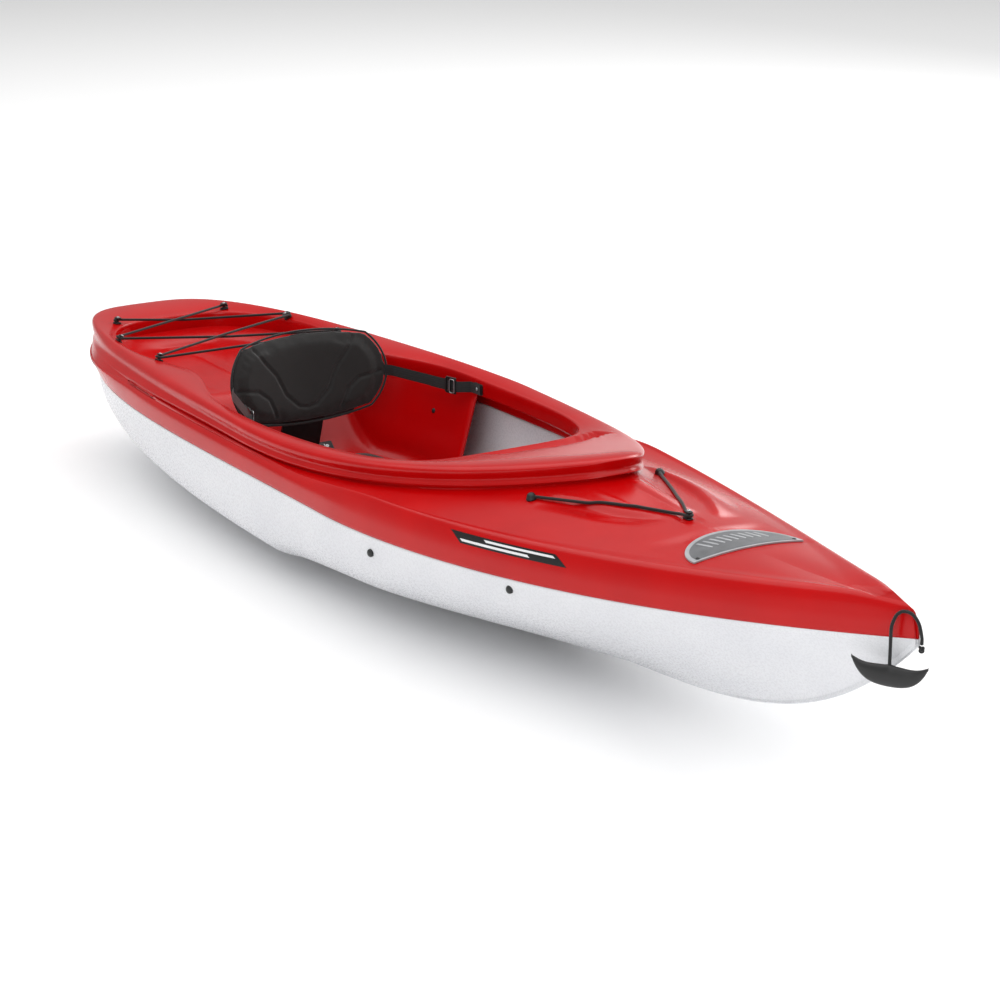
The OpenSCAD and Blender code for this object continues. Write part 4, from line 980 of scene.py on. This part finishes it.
# %% [markdown]
# The rear cord zigzags between the hooks and goes round the far side of each. The front cord is
# a V that starts in two small domes. Both lie straight because they are stretched.

# %% Shock cords
LACE = [(0, 1), (1, -1), (2, 1), (2, -1), (1, 1), (0, -1)]
BEND_R = HOOK_POST + CORD_D / 2 + 0.3
OVER = CORD_D / 2 + CORD_GAP


def bend(centre, normal, start, end, steps):
    """Points on an arc round a post, in the plane of its foot."""
    t = np.linspace(start, end, steps)
    rise = -(normal[0] * np.cos(t) + normal[1] * np.sin(t)) / normal[2]
    return centre + BEND_R * np.stack([np.cos(t), np.sin(t), rise], -1)


def heading(a, b):
    """The angle in plan of the way from a to b."""
    return math.atan2(b[1] - a[1], b[0] - a[0])


centres, normals = [], []
for k, side in LACE:
    p, n = rear_place(k, side)
    centres.append(p + CORD_UP * n)
    normals.append(n)


def middle(i, lift):
    """Where a stretch of cord crosses the centre plane, lifted to pass over or under another."""
    a, b = centres[i], centres[i + 1]
    return (lerp(a, b, abs(a[1]) / (abs(a[1]) + abs(b[1]))) + [0, 0, lift])[None]


def round_hook(i):
    """The arc round the far side of hook number i of the lacing."""
    before, after = heading(centres[i - 1], centres[i]), heading(centres[i], centres[i + 1])
    turn = (after - before + np.pi) % (2 * np.pi) - np.pi
    start = before - np.sign(turn) * np.pi / 2
    return bend(centres[i], normals[i], start, start + turn, 9)


first, last = heading(centres[0], centres[1]), heading(centres[4], centres[5])
rear_route = np.concatenate([
    bend(centres[0], normals[0], first - math.radians(250), first - np.pi / 2, 10), middle(0, OVER),
    round_hook(1), middle(1, -OVER), round_hook(2), round_hook(3), middle(3, OVER), round_hook(4), middle(4, -OVER),
    bend(centres[5], normals[5], last - np.pi / 2, last + math.radians(70), 10)])


def dense(route, step=4.0):
    """The route cut into straight steps of about 4 mm."""
    out = [route[:1]]
    for a, b in zip(route[:-1], route[1:]):
        count = max(1, int(np.linalg.norm(b - a) / step))
        out.append(a + (b - a) * (np.arange(1, count + 1) / count)[:, None])
    return np.concatenate(out)


rear_cord = cord_tube("rear_shock_cord", dense(rear_route), CORD_D, "boat", cord_braid)
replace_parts(rear_cord, "rear_bungee")

DOME_AT, DOME_R, LEG_POINTS = (569.0, 147.0), 11, 60
DOME_PROFILE = [(0.97, 0), (1, 0.6), (1, 2.2), (0.93, 3.6), (0.84, 5.5), (0.74, 8.2), (0.62, 10.6), (0.42, 12.2),
                (0.15, 12.9)]
SMOOTHING = np.array([1, 2, 3, 2, 1]) / 9
dome_frames, legs = [], []
hook_centre = hook_p + (CORD_UP - HOOK_GAP + FRONT_GAP) * hook_n
for side in (1, -1):
    p, n = on_deck(DOME_AT[0], side * DOME_AT[1])
    dome_frames.append(frame_at(p + FRONT_GAP * n, n))
    leg = lerp(p + 6 * n, hook_centre, np.linspace(0, 0.965, LEG_POINTS)[:, None])
    sheet_top = on_deck(leg[:, 0], leg[:, 1])[0][:, 2] + OVER
    clear = np.maximum(leg[:, 2], np.where(np.arange(LEG_POINTS) < 4, leg[:, 2], sheet_top))
    leg[2:-2, 2] = np.convolve(clear, SMOOTHING, "valid")
    legs.append(leg)
turn = heading(legs[0][0], hook_centre)
around_hook = bend(hook_centre, hook_n, np.pi / 2 - turn, turn - np.pi / 2, 11)
front_route = np.concatenate([legs[0][:-1], around_hook, legs[1][:-1][::-1]])
front_cord = cord_tube("front_shock_cord", front_route, CORD_D, "boat", cord_braid)
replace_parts(front_cord, "front_bungee")
domes = copies("front_cord_domes", turned(DOME_R, DOME_PROFILE), dome_frames, "boat",
               black_nylon)
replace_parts(domes, "front_anchors")

# %% [markdown]
# ## Bow rope and carry toggle
# A short braided rope comes out of the stem under a knot, goes over the nose, and hangs down to
# a moulded handle. The handle is a fat crescent: it
# thins towards both ends, which turn up as the fourth power of the way out from the middle.

# %% Rope, knot and toggle
ROPE_D = 6.0
ROPE_ROUTE = [(1533, 3, 335), (1533, 3, 345), (1531, 2, 357), (1527, 1, 369), (1520, -1, 379),
              (1511, -4, 385), (1502, -7, 386), (1496, -12, 385), (1493, -19, 380), (1493, -25, 372),
              (1493, -29, 362), (1493, -30, 350), (1493, -30, 330), (1493, -30, 310), (1493, -30, 288)]
KNOT_AT, KNOT_SIZE = np.array([1533, 3, 327.5]), 1.45
TOGGLE_AT, TOGGLE_TURN = (1493, -30, 280.7), math.radians(29)
TOGGLE_HALF, TOGGLE_THICK, TOGGLE_TALL = 68, 9, 19
rope_path = smooth_path(ROPE_ROUTE)
rope = cord_tube("bow_carry_rope", rope_path, ROPE_D, "boat", rope_braid, up=(1, 1, 0.05), around=20)
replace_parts(rope, "bow_rope")
t = np.linspace(0, 2 * np.pi, 97)
trefoil = np.stack([np.sin(t) + 2 * np.sin(2 * t), -1.1 * np.sin(3 * t), np.cos(t) - 2 * np.cos(2 * t)], -1)
trefoil = KNOT_SIZE * trefoil + KNOT_AT
knot = cord_tube("rope_knot_under_nose", trefoil, ROPE_D - 0.6, "boat", rope_braid, up=(0.2, 1, 0.1))
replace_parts(knot, "rope_knot")

a = np.linspace(-1, 1, 81)[:, None]
turn = np.linspace(0, 2 * np.pi, 41)[:-1][None]
fat = np.maximum(0.16, (1 - a**2).clip(0) ** 0.6)
bow = 24 * a**4 - 6
handle = ring(TOGGLE_HALF * a, TOGGLE_THICK * fat * np.cos(turn), bow + TOGGLE_TALL * fat * np.sin(turn))
handle[..., 2] += 1.6 * bell(a / 0.16) * (np.sin(turn) > 0)
origin, axes = frame_at(TOGGLE_AT, (0, 0, 1), TOGGLE_TURN)
toggle = round_grid("bow_carry_toggle", handle @ axes + origin, "toggle", black_nylon,
                    sharp=60)
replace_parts(toggle, "bow_toggle")

# %% [markdown]
# ## Nameplate
# The plate is a half moon of moulded plastic with a raised pale rim and a darker field. Its field
# has plain raised bars, with no words. Its height follows the deck.

# %% Nameplate
def plate_grid(shrink, lift, columns=61, rows=21):
    """Across from side to side, and back from the chord by a share of the half ellipse."""
    side = -np.cos(np.pi * np.linspace(0, 1, columns))[None, :]
    y = (PLATE_HALF - shrink) * side + np.zeros((rows, 1))
    deep = PLATE_FOOT + (PLATE_DEEP - 1.5 * shrink) * np.sqrt(1 - side**2)
    x = PLATE_X - shrink * 0.6 - deep * np.linspace(0, 1, rows)[:, None]
    return ring(x, y, plate_seat_z(x, y) + lift)


def plate_solid(name, shrink, low, high, material):
    """Two skins of the half moon, joined round the edge."""
    skins = np.stack([plate_grid(shrink, high), plate_grid(shrink, low)])
    faces = skin_faces(*skins.shape[1:3])
    piece = make_piece(name, skins.reshape(-1, 3) * MM, faces, "boat", material, 35)
    modifier(piece, "BEVEL", width=0.0006, segments=2, limit_method="ANGLE", angle_limit=math.radians(50))
    return piece


def on_plate(x, y, lift, turn):
    """A frame over x and y, lifted above the plate's seat."""
    return frame_at(np.array([x, y, plate_seat_z(x, y) + lift]), on_deck(x, y)[1], turn)


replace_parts(plate_solid("nameplate_rim", 0, 0.6, 3.4, pale_nylon), "nameplate")
plate_solid("nameplate_field", 10, 3.0, 3.9, grey_nylon)
bar_frames = [on_plate(PLATE_X - 8 - 0.5 * float(plate_depth(along)), along, 3.6, math.radians(20))
              for along in np.linspace(-62, 62, 9)]
bar = lozenge(34, 6, 6)
bar_shape = stack([(bar, 0), (bar, 0.9), (bar * 0.9, 1.3), (bar * 0.5, 1.35)])
copies("nameplate_bars", bar_shape, bar_frames, "boat", pale_nylon)
plate_screws = [on_plate(PLATE_X - 9.0, side * 106.0, 3.2, 0.5) for side in (1, -1)]
plate_heads = copies("nameplate_screw_heads", pan_screw(SCREW_HEAD, 2.2), plate_screws, "boat",
                     black_nylon)
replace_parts(plate_heads, "nameplate_screws")

# %% [markdown]
# ## Stripes on the side
# Each side of the deck has a plain graphic: a black band with two white ones in it, cut on a slant.
# It is thin film on the sheet, so each band repeats the deck's own surface, raised a little.

# %% Side stripes
def deck_surface(v_low, v_high, s):
    """Points between rings 1 and 2, the same cubic as the sheet. v goes from low to high over the
    rows of s."""
    r0, r1, r2, r3 = (DECK_RINGS[j](s) for j in range(4))
    t = np.broadcast_to(np.linspace(v_low, v_high, s.shape[0])[:, None], s.shape)[..., None] - 1
    return cubic(r1, r2, (r2 - r0) / 2, (r3 - r1) / 2, t)


def stripe(name, v_low, v_high, s_from, s_to, lift, material):
    """A slanted band of film on both sides, with its top lifted off the sheet."""
    rows, columns = 8, 40
    lean = np.linspace(0.012, -0.012, rows)[:, None] * (v_high - v_low)
    skin = deck_surface(v_low, v_high, np.linspace(s_from, s_to, columns)[None, :] + lean)
    n = np.cross(np.gradient(skin, axis=1), np.gradient(skin, axis=0))
    n /= np.linalg.norm(n, axis=-1, keepdims=True)
    n = np.where(n[..., 1:2] < 0, -n, n)
    skins = np.stack([(skin + height * n) * [1, side, 1] for side in (1, -1) for height in (lift, 0.05)])
    faces = np.concatenate([skin_faces(rows, columns, start) for start in (0, 2 * rows * columns)])
    make_piece(name, skins.reshape(-1, 3) * MM, faces, "boat", material, 60)


stripe("side_stripe_black", 1.25, 1.72, 0.362, 0.468, 0.35, black_vinyl)
stripe("side_stripe_white_low", 1.34, 1.44, 0.368, 0.436, 0.5, white_vinyl)
stripe("side_stripe_white_high", 1.53, 1.63, 0.392, 0.461, 0.5, white_vinyl)

# %% [markdown]
# ## Padded seat
# The backrest and the seat cushion are foam in woven cloth. Each starts as a closed form that is
# a little thin, is rebuilt in even 5 mm cells, and then a cloth simulation blows it up until it
# pulls tight, with a cap on how far a point may move. The stitched channels are pressed in last.

# %% Helpers for padding
PAD_CELL, PAD_PRESSURE, PAD_FRAMES = 0.005, 4.0, 20


def closed_pad(name, front, back):
    """Two grids of the same size, joined round their edge."""
    points = np.stack([front, back]).reshape(-1, 3) * MM
    piece = new_object(name, points, skin_faces(*front.shape[:2]))
    turn_outwards(piece)
    return piece


def read_vectors(mesh, key="co"):
    """Each vertex's coordinates, or its normal, as an array."""
    flat = np.empty(len(mesh.vertices) * 3)
    mesh.vertices.foreach_get(key, flat)
    return flat.reshape(-1, 3)


def bake_modifiers(piece):
    """Puts what the modifiers show into the mesh, and removes them."""
    shown = piece.evaluated_get(bpy.context.evaluated_depsgraph_get())
    mesh = bpy.data.meshes.new_from_object(shown)
    piece.modifiers.clear()
    piece.data = mesh


def swell_pad(piece, cap):
    """Even cells, then cloth under pressure for a while, with no point moved more than cap mm."""
    modifier(piece, "REMESH", mode="VOXEL", voxel_size=PAD_CELL)
    bake_modifiers(piece)
    modifier(piece, "SMOOTH", factor=0.6, iterations=4)
    bake_modifiers(piece)
    start = read_vectors(piece.data)
    cloth = piece.modifiers.new("cloth", "CLOTH")
    cloth.settings.quality = 5
    cloth.settings.use_pressure = True
    cloth.settings.uniform_pressure_force = PAD_PRESSURE
    cloth.settings.effector_weights.gravity = 0
    scene = bpy.context.scene
    for number in range(1, PAD_FRAMES + 1):
        scene.frame_set(number)
    shown = piece.evaluated_get(bpy.context.evaluated_depsgraph_get())
    moved = read_vectors(shown.data) - start
    far = np.linalg.norm(moved, axis=1, keepdims=True) + 1e-9
    end = start + moved * np.minimum(1, cap * MM / far)
    piece.modifiers.clear()
    scene.frame_set(1)
    piece.data.vertices.foreach_set("co", end.ravel())
    print(piece.name, "moved up to", round(float(far.max()) / MM, 1), "mm")
    modifier(piece, "SUBSURF", levels=1, render_levels=1)
    bake_modifiers(piece)
    piece.data.shade_smooth()


def from_lines(y, z, lines):
    """Distance from points to the nearest of several polylines, in the pad's own plane."""
    best = np.full(len(y), 1e9)
    q = np.stack([y, z], -1)
    for line in lines:
        p = np.array(line, float)
        for a, b in zip(p[:-1], p[1:]):
            u = np.clip(((q - a) @ (b - a)) / ((b - a) @ (b - a)), 0, 1)[:, None]
            best = np.minimum(best, np.linalg.norm(q - (a + u * (b - a)), axis=1))
    return best


def press(piece, facing, across, up, lines, deep, wide):
    """Moves the front's points inwards along the lines, by a bell of the given depth and width."""
    co, normal = read_vectors(piece.data), read_vectors(piece.data, "normal")
    front = smooth((normal @ facing) * 2)
    fall = deep * bell(from_lines(across(co / MM), up(co / MM), lines) / wide) * front
    piece.data.vertices.foreach_set("co", (co - normal * fall[:, None] * MM).ravel())


def squircle(a, b, k):
    """A square made round at its corners: each coordinate shrinks as the other grows."""
    return a * np.sqrt(1 - k * b**2 / 2), b * np.sqrt(1 - k * a**2 / 2)


# %% [markdown]
# ### Backrest
# The pad is wide and low, with large round corners and two wings that come forward. A shield
# shaped panel is stitched in its middle, and a shorter seam crosses each lower corner.

# %% Backrest pad
TILT = math.radians(9.1)
BACK_UP = np.array([-math.sin(TILT), 0, math.cos(TILT)])
BACK_OUT = np.array([math.cos(TILT), 0, math.sin(TILT)])
PAD_FOOT = np.array([-622.0, 0, 195])
PAD_W, PAD_H, PAD_T, WING, PAD_ROUND = 392.0, 208.0, 34.0, 37.0, 0.72


def pad_point(x, z, out):
    """A point at a share x across the pad and z up it, moved forward by out."""
    up, across = PAD_H / 2 * (1 + z), PAD_W / 2 * x
    return PAD_FOOT + up[..., None] * BACK_UP + across[..., None] * [0, 1, 0] + out[..., None] * BACK_OUT


def pad_skin(sign, thick):
    """Points at a across and b up, on the front (1) or the back (-1)."""
    a, b = np.meshgrid(np.linspace(-1, 1, 61), np.linspace(-1, 1, 33))
    x, z = squircle(a, b, PAD_ROUND)
    edge = np.clip((1 - a**6) * (1 - b**6), 0, 1) ** 0.5
    hollow = 1 - 0.16 * np.exp(-((a / 0.3) ** 2))
    half = thick / 2 * (0.22 + 0.78 * edge) * (hollow if sign > 0 else 1)
    return pad_point(x, z, WING * x**2 + sign * half)


pad = closed_pad("backrest_pad_cover", pad_skin(1, PAD_T - 8), pad_skin(-1, PAD_T - 8))
swell_pad(pad, 5)
half_lines = [[(126, 182), (104, 150), (76, 118), (54, 70), (22, 40), (0, 36)],
              [(84, 26), (100, 66), (128, 88), (182, 96)]]
pad_lines = half_lines + [[(-y, z) for y, z in line] for line in half_lines]
press(pad, BACK_OUT, lambda p: p[:, 1], lambda p: (p - PAD_FOOT) @ BACK_UP, pad_lines, 3.4, 7)
dress(pad, "backrest", seat_cloth)
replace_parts(pad, "backrest_pad")
print("backrest pad faces", len(pad.data.polygons))

# %% [markdown]
# A round piping cord hides the seam between the front cloth and the back cloth. It follows the
# outline of the pad, halfway through its thickness.

# %% Piping
t = np.linspace(0, 2 * np.pi, 161)
grow = np.maximum(abs(np.cos(t)), abs(np.sin(t)))
a, b = np.cos(t) / grow, np.sin(t) / grow
x, z = squircle(a, b, PAD_ROUND)
rim = pad_point(1.004 * x, 1.006 * z, WING * x**2)
cord_tube("backrest_piping", rim, 5.0, "backrest", webbing, up=BACK_OUT)

# %% [markdown]
# ### Seat cushion
# The cushion lies on the tub's floor, so its underside follows the floor, and its two sides are
# raised into low bolsters that hold the hips.

# %% Seat cushion
CUSHION_X, CUSHION_L, CUSHION_W, CUSHION_T = -372.0, 262.0, 350.0, 28.0


def tub_floor_z(x, y):
    """The dished floor: it falls from the wall to the middle."""
    half = (OPENING_W - TUB_INSET) * (1 - waist(x) / OPENING_W)
    return floor_z(x) - FLOOR_DISH * np.clip((1 - abs(y) / half) / DISH_AT, 0, 1)


def cushion_skin(share):
    """The cushion's top (1) or underside (0), over the floor."""
    a, b = np.meshgrid(np.linspace(-1, 1, 45), np.linspace(-1, 1, 57))
    xa, yb = squircle(a, b, 0.4)
    x, y = CUSHION_X - CUSHION_L / 2 + (CUSHION_L / 2 - 3) * xa, (CUSHION_W / 2 - 3) * yb
    edge = np.clip((1 - a**8) * (1 - b**8), 0, 1) ** 0.5
    bolster = 0.72 + 0.28 * smooth((abs(yb) - 0.35) / 0.35)
    top = (CUSHION_T - 6) * (0.5 + 0.5 * edge) * bolster
    return ring(x, y, tub_floor_z(x, y) + 3 + share * top)


cushion = closed_pad("seat_cushion_cover", cushion_skin(1), cushion_skin(0))
swell_pad(cushion, 3)
cushion_lines = [[(-620, 84 * side), (-500, 92 * side), (-390, 74 * side)] for side in (1, -1)]
cushion_lines += [[(-560, 84), (-560, -84)], [(-470, 88), (-470, -88)]]
press(cushion, np.array([0, 0, 1.0]), lambda p: p[:, 0], lambda p: p[:, 1], cushion_lines, 2.6, 7)
dress(cushion, "boat", seat_cloth)
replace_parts(cushion, "seat_cushion")

# %% [markdown]
# ### Straps and buckles
# A strap of 25 mm webbing runs from each wing of the backrest to a plate screwed on the side of
# the tub, through a ladder buckle.

# %% Straps
BUCKLE = np.array([-404.0, 252.0])
AIM = np.array([math.cos(math.radians(15)), math.sin(math.radians(15))])
STRAP_Z, STRAP_W = 296.0, 25.0
ANCHOR = np.array([-345.0, 289.1])
END = np.array([-355.0, 285.3])
strap_plan = np.array([(-607, 189), (-585, 204), (-520, 221), BUCKLE - 50 * AIM, BUCKLE + 22 * AIM,
                       END + [-14, -3], END, END + [22, 0]])
tail_plan = np.array([BUCKLE - along * AIM - [0, off] for along, off in ((62, 2.8), (30, 3.4), (12, 2.6))])
webbing_section = lozenge(2.0, STRAP_W, 8, 40)


def webbing_piece(name, plan, side, body=None):
    """Webbing on edge along a plan, on one side of the boat."""
    path = dense(np.stack([plan[:, 0], side * plan[:, 1], np.full(len(plan), STRAP_Z)], -1), 6.0)
    points = swept(path, webbing_section, np.array([0, 0, 1.0]))
    return round_grid(name, points, body, webbing, along_uv(path, webbing_section))


def bar_between(a, b, thick, deep):
    """An oblong bar with rounded ends, from a to b."""
    a, b = np.asarray(a, float), np.asarray(b, float)
    length = np.linalg.norm(b - a)
    z_axis = (b - a) / length
    side = np.cross(z_axis, [0, 0, 1] if abs(z_axis[2]) < 0.9 else [*AIM, 0])
    side /= np.linalg.norm(side)
    section = lozenge(thick, deep, 5, 24)
    rows = stack([(section * 0.7, 0), (section * 0.93, 0.5), (section, 1.4), (section, length - 1.4),
                  (section * 0.93, length - 0.5), (section * 0.7, length)])
    return rows @ np.stack([side, np.cross(z_axis, side), z_axis]) + a


for side, label in ((1, "port"), (-1, "starboard")):
    strap = webbing_piece("strap_webbing_" + label, strap_plan, side)
    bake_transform(strap)
    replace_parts(strap, "strap_" + label)
    webbing_piece("strap_tail_" + label, tail_plan, side, "boat")
    ahead, inward = np.array([AIM[0], side * AIM[1], 0]), np.array([AIM[1], -side * AIM[0], 0])
    centre, up = np.array([BUCKLE[0], side * BUCKLE[1], STRAP_Z]), np.array([0, 0, (STRAP_W + 7) / 2])
    bars = [bar_between(centre + k * up - 15 * ahead, centre + k * up + 15 * ahead, 4, 6) for k in (1, -1)]
    for along, off in ((-14, 2.6), (0, 3.2), (14, 2.6)):
        rung = centre + along * ahead + off * inward
        bars.append(bar_between(rung - up, rung + up, 4, 3.4))
    buckle = joined("ladder_buckle_" + label, bars, "boat", black_nylon)
    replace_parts(buckle, "buckle_" + label)
    loop = lozenge(15, STRAP_W + 6, 6, 60)
    loop = np.concatenate([loop, loop[:1]])
    wire = centre + 7 * ahead + loop[:, :1] * ahead + loop[:, 1:] * [0, 0, 1] + 5.6 * inward
    cord_tube("strap_wire_ring_" + label, wire, 1.8, "boat", steel, up=inward)

anchor_frames = [frame_at((ANCHOR[0], side * (ANCHOR[1] - 5.4), STRAP_Z), (0, -side, 0)) for side in (1, -1)]
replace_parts(copies("strap_anchor_screw_heads", screw_head, anchor_frames, "boat", steel),
            "strap_anchor_screws")

# %% [markdown]
# ## Small fasteners and the carried parts
# Black caps cover the footrest bolts outside the hull, and two snap rivets hold the tub's sides.
# The footrests, brackets, pin, foam and drain keep their solid shapes and get real finishes.

# %% Caps, rivets and finishes
RAIL_WAY = np.array([0.980183, -0.185441, 0.0696647])
RAIL_MID = np.array([490, 300.829, 217])
RAIL_HALF, CAP_R, RIVET_R = 201, 8, 6
CAP_PROFILE = [(0.96, -4), (1, 0), (1, 3.4), (0.9, 4.9), (0.6, 6.0), (0.2, 6.3)]
RIVET_PROFILE = [(0.95, -3), (1, 0), (0.95, 1.2), (0.75, 2.2), (0.3, 2.8)]
out_of_hull = -np.cross(RAIL_WAY, [0, 0, 1])
out_of_hull /= np.linalg.norm(out_of_hull)
cap_frames = []
for side in (1, -1):
    for end in (1, -1):
        p = RAIL_MID + end * RAIL_HALF * RAIL_WAY + 5.2 * out_of_hull
        cap_frames.append(frame_at(p * [1, side, 1], out_of_hull * [1, side, 1], 0.3))
copies("footrest_bolt_caps", turned(CAP_R, CAP_PROFILE), cap_frames, "boat", black_nylon)
wall_p = tub_ring(np.array([-0.22]), 0.34)[0]
rivet_frames = [frame_at(wall_p * [1, side, 1], (0, -side, 0.27), 0.2) for side in (1, -1)]
copies("tub_rivets", turned(RIVET_R, RIVET_PROFILE), rivet_frames, "boat", black_nylon)

CARRIED = {
    black_nylon: ("backrest_plate", "backrest_bracket_port", "backrest_bracket_starboard", "strap_anchors",
                  "foot_peg_port", "foot_peg_starboard", "drain_seat", "drain_plug"),
    grey_nylon: ("footrest_rail_port", "footrest_rail_starboard"),
    steel: ("backrest_bracket_screws", "backrest_hinge_pin", "footrest_bolts"),
    foam: ("bow_foam", "stern_foam"),
}
for material, names in CARRIED.items():
    for name in names:
        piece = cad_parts[name]
        piece.data.materials.clear()
        piece.data.materials.append(material)
print("carried parts finished:", sum(len(names) for names in CARRIED.values()))

# %% [markdown]
# ## Floor and light
# The boat rests on a plain pale floor. A very large soft box overhead lights it evenly, a narrow
# one over the port side makes the long pale reflections on the tops, and a weak one fills the
# near side.

# %% Floor and lights
FLOOR_HALF = 30
corners = [(-1, -1, 0), (1, -1, 0), (1, 1, 0), (-1, 1, 0)]
floor = new_object("studio_floor", FLOOR_HALF * np.array(corners), [(0, 1, 2, 3)])
paper = finish("pale_studio_paper", Base_Color=colour("FFFFFF"), Roughness=0.9, Specular_IOR_Level=0.2)[0]
floor.data.materials.append(paper)


def softbox(name, place, target, size, power):
    """An area light at a place, turned to its target."""
    data = bpy.data.lights.new(name, "AREA")
    data.shape, data.size, data.size_y, data.energy = "RECTANGLE", size[0], size[1], power
    lamp = bpy.data.objects.new(name, data)
    lamp.location = place
    lamp.rotation_euler = (Vector(place) - Vector(target)).to_track_quat("Z", "Y").to_euler()
    bpy.context.scene.collection.objects.link(lamp)


softbox("box_overhead", (0.0, 0.0, 6.5), (0.0, 0.0, 0.0), (15.0, 15.0), 900)
softbox("box_over_port", (-1.5, 5.5, 3.0), (0.0, 0.0, 0.3), (6.0, 2.0), 150)
softbox("box_near_side", (4.2, -4.6, 2.2), (0.2, 0.0, 0.2), (3.0, 0.8), 45)
world = bpy.data.worlds.new("studio")
world.use_nodes = True
sky = world.node_tree.nodes["Background"].inputs
sky["Color"].default_value, sky["Strength"].default_value = colour("FFFFFF"), 0.34
bpy.context.scene.world = world
bpy.context.scene.view_settings.view_transform = "Standard"
